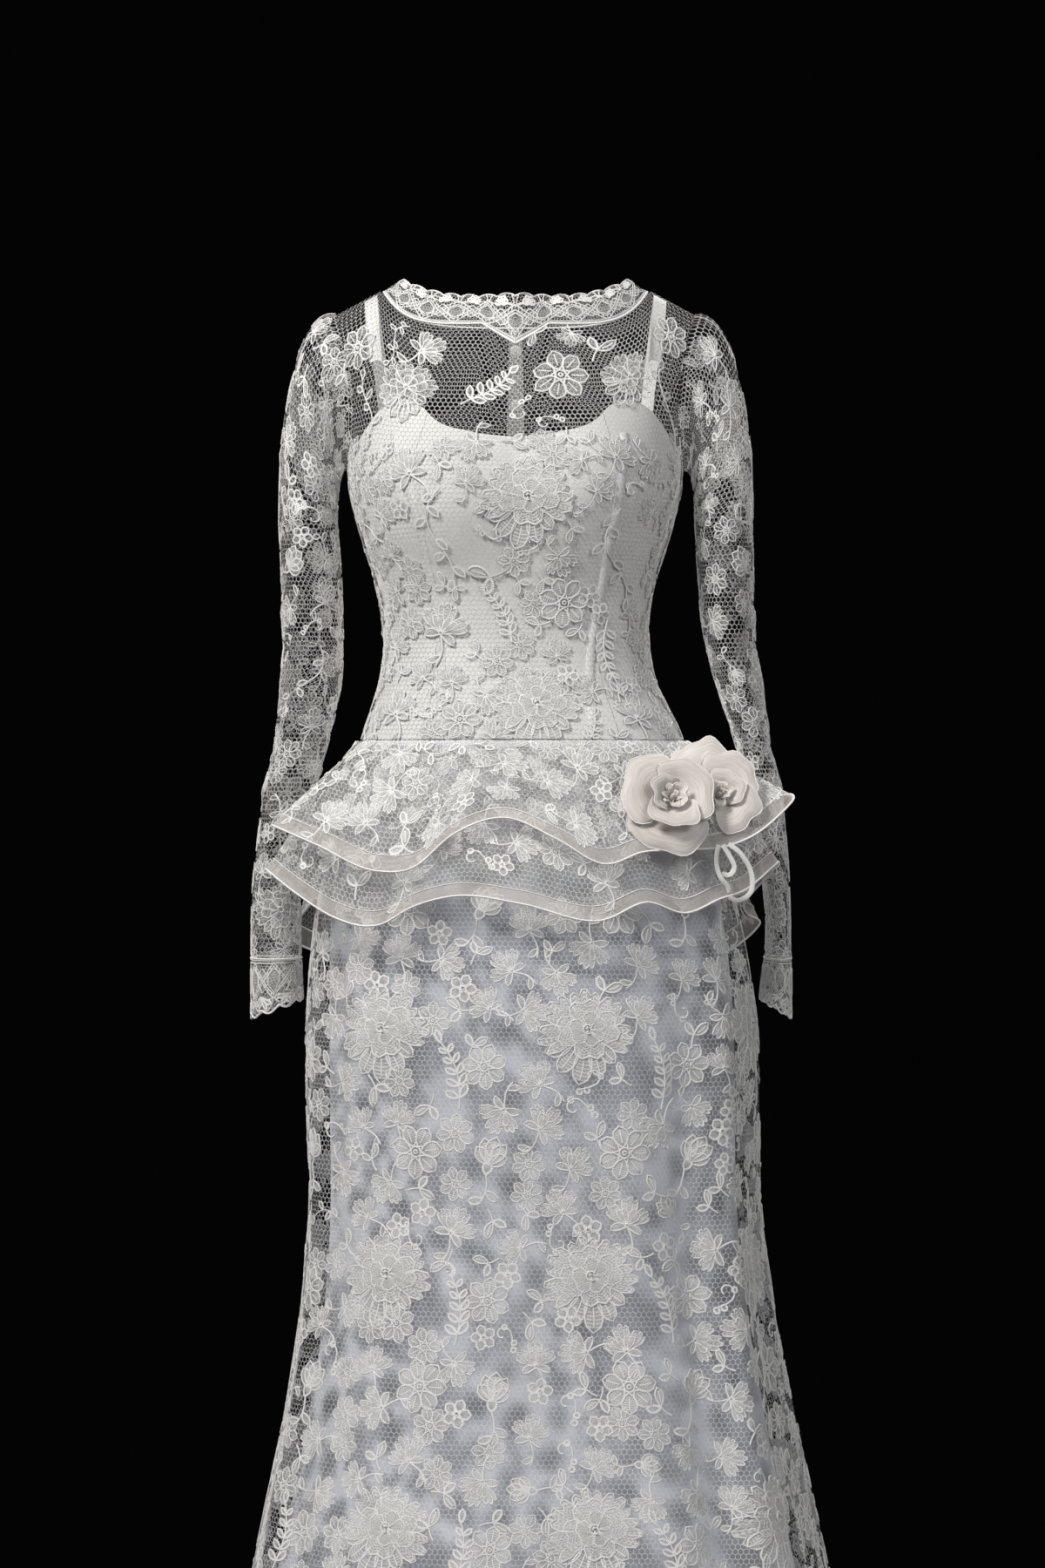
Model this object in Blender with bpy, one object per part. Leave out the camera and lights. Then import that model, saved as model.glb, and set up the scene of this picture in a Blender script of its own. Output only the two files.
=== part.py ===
"""Long-sleeved lace wedding dress, standing hollow as it is worn.

Metres, +Z up, the front faces -Y and the wearer's left arm is at +X.
The origin lies between the shoulder seams, where a wearer holds the dress up.
Every cloth piece is a thin wall lofted through sections worked out from the tables below.
An angle round the body is 0 at the centre front, positive towards +X and 180 degrees at the
centre back.
"""
import math

import bmesh
import bpy
import numpy as np
from mathutils import Matrix, Vector
from mathutils.bvhtree import BVHTree

COLLECTION = "wedding_dress"

# Cloth thickness, and how far each layer lies outside the figure
CLOTH = 0.0012
LINING_LAYER = -0.0004
LACE_LAYER = 0.0014
PLACKET_LAYER = 0.0031
SEAM_GAP = 0.0003
SEAM_ANGLE = 0.0016

# Heights of the main lines
ARMPIT_Z = -0.155
WAIST_SEAM_Z = -0.4105
LINING_HEM_Z = -1.425
LACE_HEM_Z = -1.440

# Squareness of the body's oval sections
SQUARE = 0.12
NORMAL_STEP = 1e-4
CLOTH_ROUGHNESS = 0.8

# Sections of the figure: height, sideways centre, half width, front depth, back depth
BODY_COLUMNS = ("z", "centre", "half", "front", "back")
BODY_ROWS = (
    (-0.155, 0.000, 0.1555, 0.108, 0.100),
    (-0.180, 0.000, 0.1530, 0.107, 0.099),
    (-0.205, 0.000, 0.1465, 0.105, 0.097),
    (-0.230, 0.000, 0.1390, 0.101, 0.094),
    (-0.254, 0.000, 0.1313, 0.096, 0.091),
    (-0.279, 0.000, 0.1250, 0.091, 0.088),
    (-0.315, 0.001, 0.1222, 0.088, 0.086),
    (-0.353, 0.002, 0.1275, 0.090, 0.090),
    (-0.402, 0.006, 0.1465, 0.099, 0.103),
    (-0.430, 0.007, 0.1565, 0.103, 0.110),
    (-0.480, 0.008, 0.1690, 0.109, 0.118),
    (-0.530, 0.009, 0.1780, 0.113, 0.124),
    (-0.600, 0.012, 0.1860, 0.117, 0.128),
    (-0.672, 0.015, 0.1895, 0.119, 0.130),
    (-0.770, 0.016, 0.1900, 0.121, 0.132),
    (-0.845, 0.017, 0.1905, 0.124, 0.135),
    (-0.943, 0.019, 0.1985, 0.132, 0.145),
    (-1.041, 0.020, 0.2135, 0.147, 0.163),
    (-1.140, 0.020, 0.2330, 0.168, 0.187),
    (-1.240, 0.020, 0.2540, 0.190, 0.213),
    (-1.340, 0.020, 0.2770, 0.212, 0.239),
    (-1.440, 0.020, 0.3010, 0.234, 0.265),
)

# Bust fullness on the front
BUST_X = 0.070
BUST_Z = -0.182
BUST_RISE = 0.015
BUST_SPREAD_X = 0.042
BUST_SPREAD_Z = 0.046

# Yoke: from the armpit line up to the neckline and the shoulder seams
TIP_X = 0.1685
TIP_Z = -0.011
NECK_SHARE = 0.75
NECK_X = TIP_X * NECK_SHARE
NECK_Z = 0.012
RIDGE_Y = 0.006
RIDGE_GAP = 0.00025
FRONT_NECK_Z = -0.028
BACK_NECK_Z = -0.014
NOTCH_DEPTH = 0.020
NOTCH_HALF = 0.030
FRONT_NECK_DEPTH = 0.074
BACK_NECK_DEPTH = 0.060
ARMHOLE_FRONT = 0.045
ARMHOLE_BACK = 0.048
SHOULDER_ROUND = 0.7
NECK_CURVE = 6
ARMHOLE_CURVE = 2.5
SIDE_SWITCH = 0.01
ARMHOLE_COLUMNS = ("share", "half")
ARMHOLE_ROWS = (
    (0.00, 0.1555),
    (0.30, 0.1520),
    (0.65, 0.1560),
    (1.00, 0.1685),
)

# Slip neckline: distance from the centre, height in front, height at the back
SLIP_COLUMNS = ("x", "front", "back")
SLIP_ROWS = (
    (0.000, -0.1318, -0.1330),
    (0.040, -0.1308, -0.1315),
    (0.080, -0.1200, -0.1290),
    (0.110, -0.0965, -0.1230),
    (0.126, -0.0930, -0.1220),
    (0.138, -0.1120, -0.1300),
    (0.156, -0.1500, -0.1500),
)
STRAP_TOP_X = 0.136
STRAP_LOW_X = 0.119
STRAP_WIDTH = 0.012
STRAP_FOOT_GAP = 0.010
STRAP_ROW_GAP = 0.04
SLIP_EDGE_SHARE = 0.2

# Neck edging: a scalloped band standing on the yoke's neckline
BAND_NECK_X = 0.108
BAND_SIDE_Z = 0.020
BAND_FRONT_Z = -0.003
BAND_BACK_Z = 0.006
BAND_LEAN = 0.011
BAND_SCALLOP = 0.003
BAND_BOW = 0.002
BAND_CURVE = 4
BAND_STEPS_FRONT = 48
BAND_END = 0.992
BAND_GAP = 0.0007

# Grid lines of the bodice
BODICE_STEPS_ROUND = 32
TORSO_ROW_Z = (WAIST_SEAM_Z + SEAM_GAP, -0.375, -0.340, -0.305, -0.270, -0.235, -0.205, -0.180)
YOKE_SHARES = (0.0, 0.15, 0.30, 0.45, 0.60, 0.75, 0.87, 0.955, 1.0)
PRINCESS_FRONT = 33.75
PRINCESS_BACK = 135.0

# Lace skirt: how far it stands off the slip, and its hanging folds
EASE_COLUMNS = ("z", "ease")
EASE_ROWS = (
    (-0.4100, 0.0000),
    (-0.4500, 0.0020),
    (-0.5200, 0.0080),
    (-0.6000, 0.0150),
    (-0.6720, 0.0195),
    (-0.8450, 0.0195),
    (-0.9430, 0.0215),
    (-1.4400, 0.0240),
)
# Folds: angle, half spread in degrees, push out (+) or in (-) at the hem, height where it starts
FOLD_COLUMNS = ("angle", "spread", "push", "start")
FOLD_ROWS = (
    (-150, 7, 0.016, -0.60),
    (-132, 8, -0.015, -0.62),
    (-112, 7, 0.014, -0.70),
    (-82, 6, -0.010, -0.75),
    (-66, 5, 0.010, -0.60),
    (-50, 6, -0.010, -0.62),
    (-24, 9, 0.006, -0.85),
    (8, 10, -0.006, -0.90),
    (28, 6, 0.010, -0.66),
    (38, 5, -0.020, -0.62),
    (49, 6, 0.013, -0.66),
    (72, 7, -0.009, -0.75),
    (100, 8, 0.012, -0.70),
    (122, 8, -0.015, -0.62),
    (143, 7, 0.016, -0.60),
    (166, 6, -0.014, -0.66),
)
FOLD_GROWTH = 0.6
LACE_SKIRT_STEPS = 64
LACE_SKIRT_Z = (-0.480, -0.560, -0.670, -0.800, -0.950, -1.100, -1.270, LACE_HEM_Z)
LINING_SKIRT_STEPS = 32
LINING_SKIRT_Z = (-0.480, -0.560, -0.680, -0.850, -1.040, -1.230, LINING_HEM_Z)

# Peplum tiers: angle, how far the hem stands out, how far it drops
PEPLUM_COLUMNS = ("angle", "out", "drop")
UPPER_TIER_ROWS = (
    (-180, 0.080, 0.150),
    (-155, 0.084, 0.158),
    (-128, 0.098, 0.150),
    (-117, 0.090, 0.136),
    (-106, 0.058, 0.112),
    (-90, 0.042, 0.094),
    (-76, 0.066, 0.083),
    (-62, 0.094, 0.078),
    (-49, 0.080, 0.094),
    (-33, 0.064, 0.118),
    (-24, 0.060, 0.114),
    (-16, 0.052, 0.086),
    (-4, 0.042, 0.070),
    (8, 0.054, 0.090),
    (17, 0.063, 0.111),
    (27, 0.060, 0.101),
    (40, 0.060, 0.099),
    (52, 0.074, 0.095),
    (60, 0.088, 0.082),
    (68, 0.106, 0.056),
    (77, 0.092, 0.050),
    (90, 0.050, 0.080),
    (106, 0.062, 0.112),
    (117, 0.092, 0.136),
    (128, 0.098, 0.150),
    (155, 0.084, 0.158),
    (180, 0.080, 0.150),
)
LOWER_TIER_ROWS = (
    (-180, 0.082, 0.206),
    (-155, 0.088, 0.214),
    (-132, 0.100, 0.206),
    (-121, 0.100, 0.190),
    (-112, 0.074, 0.170),
    (-103, 0.050, 0.152),
    (-90, 0.048, 0.148),
    (-77, 0.070, 0.130),
    (-65, 0.098, 0.118),
    (-56, 0.086, 0.138),
    (-45, 0.070, 0.161),
    (-33, 0.062, 0.166),
    (-25, 0.058, 0.150),
    (-15, 0.056, 0.140),
    (0, 0.057, 0.147),
    (16, 0.065, 0.162),
    (29, 0.058, 0.146),
    (39, 0.062, 0.156),
    (50, 0.068, 0.144),
    (60, 0.078, 0.134),
    (68, 0.094, 0.112),
    (78, 0.078, 0.124),
    (90, 0.056, 0.150),
    (104, 0.066, 0.164),
    (117, 0.098, 0.176),
    (132, 0.100, 0.206),
    (155, 0.088, 0.214),
    (180, 0.082, 0.206),
)
TIER_LAYERS = {"lower": 0.0040, "upper": 0.0058}
TIER_STEPS = 64
TIER_SHARES = (0.0, 0.45, 0.92, 1.0)
TIER_CURVE = 0.95
TIER_ROLL = 0.0010
TIER_TOP_Z = WAIST_SEAM_Z - 0.001

# Sleeves: height, centre and half size across (x) and along (y); x counts outwards
SLEEVE_COLUMNS = ("z", "x", "y", "half_x", "half_y")
SLEEVE_ROWS = {
    "right": (
        (-0.205, 0.1955, 0.004, 0.0265, 0.052),
        (-0.254, 0.1925, 0.006, 0.0270, 0.050),
        (-0.303, 0.1915, 0.009, 0.0275, 0.047),
        (-0.353, 0.1930, 0.013, 0.0275, 0.045),
        (-0.402, 0.2010, 0.018, 0.0250, 0.043),
        (-0.450, 0.2120, 0.022, 0.0240, 0.041),
        (-0.500, 0.2200, 0.024, 0.0230, 0.039),
        (-0.550, 0.2260, 0.024, 0.0225, 0.037),
        (-0.600, 0.2270, 0.022, 0.0225, 0.035),
        (-0.640, 0.2262, 0.020, 0.0230, 0.035),
        (-0.680, 0.2255, 0.018, 0.0240, 0.036),
    ),
    "left": (
        (-0.205, 0.1965, 0.004, 0.0262, 0.052),
        (-0.254, 0.1980, 0.006, 0.0250, 0.050),
        (-0.303, 0.2010, 0.009, 0.0235, 0.049),
        (-0.353, 0.2107, 0.013, 0.0210, 0.047),
        (-0.402, 0.2220, 0.018, 0.0160, 0.046),
        (-0.450, 0.2345, 0.022, 0.0145, 0.044),
        (-0.500, 0.2420, 0.024, 0.0130, 0.042),
        (-0.550, 0.2475, 0.024, 0.0110, 0.040),
        (-0.600, 0.2490, 0.022, 0.0105, 0.038),
        (-0.640, 0.2470, 0.020, 0.0130, 0.037),
        (-0.680, 0.2450, 0.018, 0.0145, 0.037),
    ),
}
SLEEVE_END_Z = -0.615
SLEEVE_Z = (-0.205, -0.254, -0.303, -0.353, -0.402, -0.450, -0.500, -0.560, SLEEVE_END_Z)
HEAD_SHARES = (0.0, 0.12, 0.26, 0.44, 0.70)
HEAD_LEAVE = 0.17
HEAD_ARRIVE = 0.55
HEAD_LIFT = 0.14
CUFF_OUTER_Z = -0.668
CUFF_INNER_Z = -0.650
CUFF_SCALLOP = 0.005
CUFF_SCALLOPS = 9
CUFF_STEPS = 27
CUFF_READ_Z = -0.655
CUFF_SHARES = (0.5, 1.0)

# Roses: petal length, cup angle from the axis, spread, in order from the middle
PETAL_COLUMNS = ("length", "cup", "spread", "turn")
ROSE_FRONT_ROWS = (
    (0.017, 16, 100, 20),
    (0.023, 28, 95, 150),
    (0.029, 40, 92, 265),
    (0.035, 52, 88, 30),
    (0.038, 62, 84, 150),
    (0.039, 70, 80, 262),
)
ROSE_BACK_ROWS = (
    (0.012, 20, 95, 60),
    (0.022, 44, 84, 40),
    (0.033, 60, 66, -35),
    (0.036, 66, 62, 60),
    (0.046, 72, 44, 112),
)
PETAL_THICK = 0.0010
PETAL_STEP = 0.0016
PETAL_SINK = 0.0012
PETAL_ROOT = 0.0034
PETAL_COLUMNS_ACROSS = 6
PETAL_SHARES = (0.0, 0.34, 0.68, 1.0)
PETAL_OPEN = 16
PETAL_TIP_POWER = 3.0
PETAL_SIDE_LENGTH = 0.28
HEART_RADIUS = 0.0026
HEART_HEIGHT = 0.013
STEM_RADIUS = 0.004
ROUND_SEGMENTS = 10
HEART_RINGS = 6
ROSE_PLACES = {
    "rose_front": {"angle": 39.0, "share": 0.60, "stand": 0.0150, "face": 0.45, "rows": ROSE_FRONT_ROWS},
    "rose_back": {"angle": 56.0, "share": 0.60, "stand": 0.0100, "face": 1.50, "rows": ROSE_BACK_ROWS},
}

# Ribbon loops: sideways and downward steps from the knot, one list for each loop
RIBBON_LOOPS = (
    ((0.000, 0.000), (-0.002, -0.014), (0.001, -0.028), (0.008, -0.037), (0.010, -0.043)),
    ((0.004, 0.000), (0.010, -0.010), (0.014, -0.020), (0.010, -0.027), (0.003, -0.026)),
    ((0.009, 0.001), (0.020, -0.008), (0.029, -0.024), (0.029, -0.042), (0.018, -0.050), (0.009, -0.047)),
)
RIBBON_WIDTH = 0.0042
RIBBON_THICK = 0.0010
RIBBON_KNOT_ANGLE = 49.0
RIBBON_KNOT_SHARE = 0.97
RIBBON_STEPS = 12
RIBBON_SPACING = 0.0016
RIBBON_CLEAR = 0.0005
RIBBON_SEAT_SAMPLES = 13
RIBBON_EYE_Y = -0.5

# Centre back closure
PLACKET_HALF = 0.007
BUTTON_RADIUS = 0.0055
BUTTON_DOME = 0.0030
BUTTON_COUNT = 8
BUTTON_SEGMENTS = 8
BUTTON_RINGS = 4
SPINE_SAMPLES = 60
SPINE_FIRST_SHARE = 0.01
BUTTON_LOW_Z = -0.385
BUTTON_HIGH_Z = -0.035

COLOURS = {
    "lace": (0.80, 0.78, 0.73),
    "slip": (0.72, 0.72, 0.73),
    "organza": (0.70, 0.63, 0.56),
}


def columns(names, rows):
    """Turn a table of rows into one array for each named column."""
    return {name: np.array([row[i] for row in rows], dtype=float) for i, name in enumerate(names)}


def smooth(at, places, values):
    """Read a column at any place with a smooth cubic through its rows."""
    order = np.argsort(places)
    places = places[order]
    values = values[order]
    slopes = np.gradient(values, places)
    at = np.clip(at, places[0], places[-1])
    low = np.clip(np.searchsorted(places, at) - 1, 0, len(places) - 2)
    span = places[low + 1] - places[low]
    s = (at - places[low]) / span
    start = values[low] * (2 * s ** 3 - 3 * s ** 2 + 1) + slopes[low] * span * (s ** 3 - 2 * s ** 2 + s)
    end = values[low + 1] * (3 * s ** 2 - 2 * s ** 3) + slopes[low + 1] * span * (s ** 3 - s ** 2)
    return start + end


BODY = columns(BODY_COLUMNS, BODY_ROWS)
ARMHOLE = columns(ARMHOLE_COLUMNS, ARMHOLE_ROWS)
SLIP = columns(SLIP_COLUMNS, SLIP_ROWS)
EASE = columns(EASE_COLUMNS, EASE_ROWS)
FOLDS = columns(FOLD_COLUMNS, FOLD_ROWS)
TIERS = {
    "upper": columns(PEPLUM_COLUMNS, UPPER_TIER_ROWS),
    "lower": columns(PEPLUM_COLUMNS, LOWER_TIER_ROWS),
}
SLEEVES = {side: columns(SLEEVE_COLUMNS, rows) for side, rows in SLEEVE_ROWS.items()}


def oval(angle):
    """Unit oval section, a little squarer than an ellipse: sideways and forward parts."""
    across = np.sin(angle) * (1 + SQUARE * np.cos(angle) ** 2)
    forward = np.cos(angle) * (1 + SQUARE * np.sin(angle) ** 2)
    return across, forward


def bust(x, z):
    """Soft fullness of the two cups."""
    beside = np.exp(-((np.abs(x) - BUST_X) / BUST_SPREAD_X) ** 2 / 2)
    along = np.exp(-((z - BUST_Z) / BUST_SPREAD_Z) ** 2 / 2)
    return BUST_RISE * beside * along


def torso_point(angle, z, grow=0.0):
    """Point on the figure below the armpit line, grown outwards by the ease of a layer."""
    across, forward = oval(angle)
    depth = np.where(forward >= 0, smooth(z, BODY["z"], BODY["front"]), smooth(z, BODY["z"], BODY["back"]))
    x = smooth(z, BODY["z"], BODY["centre"]) + (smooth(z, BODY["z"], BODY["half"]) + grow) * across
    y = -(depth + grow) * forward - bust(x, z) * np.clip(forward, 0, 1)
    return np.stack([x, y, z + 0 * x], axis=-1)


def top_edge(x, side):
    """Depth and height where the yoke ends: the neckline inside, the shoulder seam outside."""
    away = np.abs(x)
    inside = np.clip(away / NECK_X, 0, 1)
    low = FRONT_NECK_Z if side > 0 else BACK_NECK_Z
    depth = FRONT_NECK_DEPTH if side > 0 else BACK_NECK_DEPTH
    neck_z = low + (NECK_Z - low) * inside ** NECK_CURVE
    ridge_z = NECK_Z + (TIP_Z - NECK_Z) * (away - NECK_X) / (TIP_X - NECK_X)
    ridge_y = RIDGE_Y - side * RIDGE_GAP
    y = ridge_y - side * depth * np.sqrt(1 - inside ** 2)
    return y, np.where(away < NECK_X, neck_z, ridge_z)


def yoke_point(angle, share, side):
    """Point between the armpit line (share 0) and the neckline or shoulder seam (share 1)."""
    share = np.clip(share, 0, 1)
    across, forward = oval(angle)
    if side > 0:
        notch = NOTCH_DEPTH * np.clip(1 - TIP_X * np.abs(angle) / (math.pi / 2) / NOTCH_HALF, 0, 1)
        share = share * (1 - notch / (FRONT_NECK_Z - ARMPIT_Z))
    behind = np.abs(angle) > math.pi / 2 + SIDE_SWITCH * side
    flat = np.where(behind, np.sign(angle) * math.pi - angle, angle)
    flat = flat / (math.pi / 2)
    x = smooth(share, ARMHOLE["share"], ARMHOLE["half"]) * (across * (1 - share) + flat * share)
    top_y, top_z = top_edge(x, side)
    z = ARMPIT_Z + (top_z - ARMPIT_Z) * share
    arm = (ARMHOLE_FRONT if side > 0 else ARMHOLE_BACK) * (1 - (1 - share) ** ARMHOLE_CURVE)
    chest = BODY["front"][0] if side > 0 else BODY["back"][0]
    low_y = -side * (arm + (chest - arm) * forward * side)
    rounding = 1 + SHOULDER_ROUND * np.clip(np.abs(x) / NECK_X, 0, 1) ** 4
    fall = np.clip(1 - share ** 2, 0, 1) ** (1 / rounding)
    y = top_y + (low_y - top_y) * fall
    if side > 0:
        y = y - bust(x, z) * np.clip(forward, 0, 1) * (1 - share ** 4)
    return np.stack([x, y, z], axis=-1)


def bodice_point(angle, line, side):
    """Point on the bodice: a line at or below 0 is metres under the armpit, above it a yoke share."""
    torso = torso_point(angle, ARMPIT_Z + np.minimum(line, 0))
    yoke = yoke_point(angle, np.maximum(line, 0), side)
    return np.where((line <= 0)[..., None], torso, yoke)


def fold_push(angle, z):
    """Push of all hanging folds at one place of the lace skirt."""
    push = np.zeros(np.broadcast(angle, z).shape)
    for middle, spread, deep, start in zip(FOLDS["angle"], FOLDS["spread"], FOLDS["push"], FOLDS["start"]):
        turn = (np.degrees(angle) - middle + 180) % 360 - 180
        grown = np.clip((start - z) / (start - LACE_HEM_Z), 0, 1) ** FOLD_GROWTH
        push = push + deep * grown * np.exp(-(turn / spread) ** 2 / 2)
    return push


def lace_skirt_point(angle, z):
    """Point of the lace skirt's inner form."""
    return torso_point(angle, z, smooth(z, EASE["z"], EASE["ease"]) + fold_push(angle, z))


def lining_skirt_point(angle, z):
    """Point of the slip skirt's inner form."""
    return torso_point(angle, z)


def tier_point(angle, share, tier):
    """Point of a peplum tier's inner face, from its seam (share 0) to its hem (share 1)."""
    table = TIERS[tier]
    degrees = np.degrees(angle)
    out = smooth(degrees, table["angle"], table["out"])
    drop = smooth(degrees, table["angle"], table["drop"])
    grow = TIER_LAYERS[tier] + out * np.maximum(share, 0) ** TIER_CURVE
    seam = torso_point(angle, TIER_TOP_Z + 0 * angle, grow)
    seam[..., 2] -= drop * share
    return seam


def with_normals(surface, across, along):
    """Points of a surface function and its unit normals pointing away from the body."""
    step = NORMAL_STEP
    points = surface(across, along)
    sideways = surface(across + step, along) - surface(across - step, along)
    upwards = surface(across, along + step) - surface(across, along - step)
    normals = np.cross(sideways, upwards)
    normals /= np.linalg.norm(normals, axis=-1, keepdims=True)
    return points, normals


def grid_normals(points, closed):
    """Unit normals of a grid of points, by the neighbours in each direction."""
    if closed:
        around = np.roll(points, -1, axis=1) - np.roll(points, 1, axis=1)
    else:
        around = np.gradient(points, axis=1)
    normals = np.cross(around, np.gradient(points, axis=0))
    return normals / np.linalg.norm(normals, axis=-1, keepdims=True)


def make_material(name, colour):
    """Plain cloth material."""
    material = bpy.data.materials.new(name)
    material.use_nodes = True
    shader = material.node_tree.nodes["Principled BSDF"]
    shader.inputs["Base Color"].default_value = (*colour, 1)
    shader.inputs["Roughness"].default_value = CLOTH_ROUGHNESS
    shader.inputs["Metallic"].default_value = 0.0
    return material


def add_object(name, mesh, material):
    """Put a mesh into the dress's collection as a named, smooth shaded piece."""
    mesh.materials.append(bpy.data.materials[material])
    mesh.shade_smooth()
    piece = bpy.data.objects.new(name, mesh)
    bpy.data.collections[COLLECTION].objects.link(piece)
    return piece


def add_wall(name, inner, outer, material, closed=False):
    """Closed wall between two grids of points; a closed one runs right round as a tube."""
    rows, cols = inner.shape[:2]
    bm = bmesh.new()
    skins = [[[bm.verts.new(p) for p in row] for row in grid] for grid in (inner, outer)]
    steps = cols if closed else cols - 1
    for skin in skins:
        for r in range(rows - 1):
            for c in range(steps):
                d = (c + 1) % cols
                bm.faces.new((skin[r][c], skin[r][d], skin[r + 1][d], skin[r + 1][c]))
    for r in (0, rows - 1):
        for c in range(steps):
            d = (c + 1) % cols
            bm.faces.new((skins[0][r][c], skins[0][r][d], skins[1][r][d], skins[1][r][c]))
    if not closed:
        for c in (0, cols - 1):
            for r in range(rows - 1):
                bm.faces.new((skins[0][r][c], skins[0][r + 1][c], skins[1][r + 1][c], skins[1][r][c]))
    bmesh.ops.triangulate(bm, faces=bm.faces)
    bmesh.ops.recalc_face_normals(bm, faces=bm.faces)
    mesh = bpy.data.meshes.new(name)
    bm.to_mesh(mesh)
    bm.free()
    return add_object(name, mesh, material)


def add_layer(name, surface, angles, lines, layer, material, thick=CLOTH):
    """Wall on a surface function, one layer of cloth out from it."""
    points, normals = with_normals(surface, angles, lines)
    return add_wall(name, points + normals * layer, points + normals * (layer + thick), material)


def panel_angles(low, high, steps_round, row_z):
    """Grid angles of a panel between two seams given in degrees, drawn in by the seam gap at each height."""
    count = round((high - low) * steps_round / 360)
    angles = np.tile(np.radians(np.linspace(low, high, count + 1)), (len(row_z), 1))
    draw_in = SEAM_GAP / 2 / smooth(np.array(row_z), BODY["z"], BODY["front"])
    angles[:, 0] += draw_in
    angles[:, -1] -= draw_in
    return angles


def bodice_surface(side):
    """Surface function of the front (side 1) or back (side -1) of the bodice."""
    return lambda angle, line: bodice_point(angle, line, side)


def torso_lines():
    """Bodice lines below the armpit."""
    return [z - ARMPIT_Z for z in TORSO_ROW_Z]


def bodice_row(x, share, side):
    """Points and normals on the straight chords of one bodice row, read at sideways places x."""
    low, high = (0, 90) if side > 0 else (180, 90)
    grid = np.radians(np.linspace(low, high, BODICE_STEPS_ROUND // 4 + 1))
    points, normals = with_normals(bodice_surface(side), grid, np.full(len(grid), share))
    sign = np.sign(x) + (x == 0)
    rows = []
    for values in (points, normals):
        rows.append(np.stack([np.interp(np.abs(x), points[:, 0], values[:, i]) for i in range(3)], axis=-1))
        rows[-1][:, 0] *= sign
    return rows


def slip_share(angles, side):
    """Yoke share where the slip ends at each angle."""
    across, _ = oval(angles)
    x = smooth(SLIP_EDGE_SHARE, ARMHOLE["share"], ARMHOLE["half"]) * np.abs(across)
    edge = smooth(x, SLIP["x"], SLIP["front" if side > 0 else "back"])
    _, top_z = top_edge(x, side)
    return (edge - ARMPIT_Z) / (top_z - ARMPIT_Z)


def build_lining_bodice():
    """Slip bodice of seven panels with princess seams."""
    panels = (
        ("lining_front_center", -PRINCESS_FRONT, PRINCESS_FRONT, 1),
        ("lining_front_side_right", -90, -PRINCESS_FRONT, 1),
        ("lining_front_side_left", PRINCESS_FRONT, 90, 1),
        ("lining_back_side_right", -PRINCESS_BACK, -90, -1),
        ("lining_back_side_left", 90, PRINCESS_BACK, -1),
        ("lining_back_right", -180, -PRINCESS_BACK, -1),
        ("lining_back_left", PRINCESS_BACK, 180, -1),
    )
    for name, low, high, side in panels:
        angles = panel_angles(low, high, BODICE_STEPS_ROUND, TORSO_ROW_Z + (ARMPIT_Z,) * 3)
        top = slip_share(angles[-1], side)
        lines = [np.full(len(top), line) for line in torso_lines()]
        lines += [top * part for part in (0.0, 0.5, 1.0)]
        add_layer(name, bodice_surface(side), angles, np.array(lines), LINING_LAYER, "slip")


def strap_edges(share):
    """Sideways places of a strap's two edges at one share of the yoke."""
    middle = STRAP_LOW_X + (STRAP_TOP_X - STRAP_LOW_X) * share
    return np.array([middle - STRAP_WIDTH / 2, middle + STRAP_WIDTH / 2])


def strap_foot(side):
    """Share just above the highest point of the slip between a strap's edges."""
    low, high = (0, 90) if side > 0 else (180, 90)
    grid = np.radians(np.linspace(low, high, BODICE_STEPS_ROUND // 4 + 1))
    tops = slip_share(grid, side)
    x = yoke_point(grid, tops, side)[:, 0]
    edges = strap_edges(tops.max())
    inside = tops[(x > edges[0]) & (x < edges[1])]
    return max(np.interp(edges, x, tops).max(), inside.max(initial=0)) + STRAP_FOOT_GAP


def build_straps():
    """Two slip straps, each in one piece over the shoulder."""
    for name, sign in (("strap_right", -1), ("strap_left", 1)):
        points = []
        normals = []
        for side in (1, -1):
            foot = strap_foot(side)
            shares = [foot] + [share for share in YOKE_SHARES if share > foot + STRAP_ROW_GAP]
            rows = [bodice_row(strap_edges(share) * sign, share, side) for share in shares]
            if side < 0:
                rows.reverse()
            points += [row[0] for row in rows]
            normals += [row[1] for row in rows]
        points = np.array(points)
        normals = np.array(normals)
        add_wall(name, points + normals * LINING_LAYER, points + normals * (LINING_LAYER + CLOTH), "slip")


def build_lace_bodice():
    """Lace bodice with its sheer yoke: one front and two backs."""
    lines = np.array(torso_lines() + list(YOKE_SHARES))
    for name, low, high, side in (
        ("lace_bodice_front", -90, 90, 1),
        ("lace_bodice_back_right", -180, -90, -1),
        ("lace_bodice_back_left", 90, 180, -1),
    ):
        angles = panel_angles(low, high, BODICE_STEPS_ROUND, TORSO_ROW_Z + (ARMPIT_Z,) * len(YOKE_SHARES))
        grid_lines = np.tile(lines[:, None], (1, angles.shape[1]))
        add_layer(name, bodice_surface(side), angles, grid_lines, LACE_LAYER, "lace")


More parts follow.
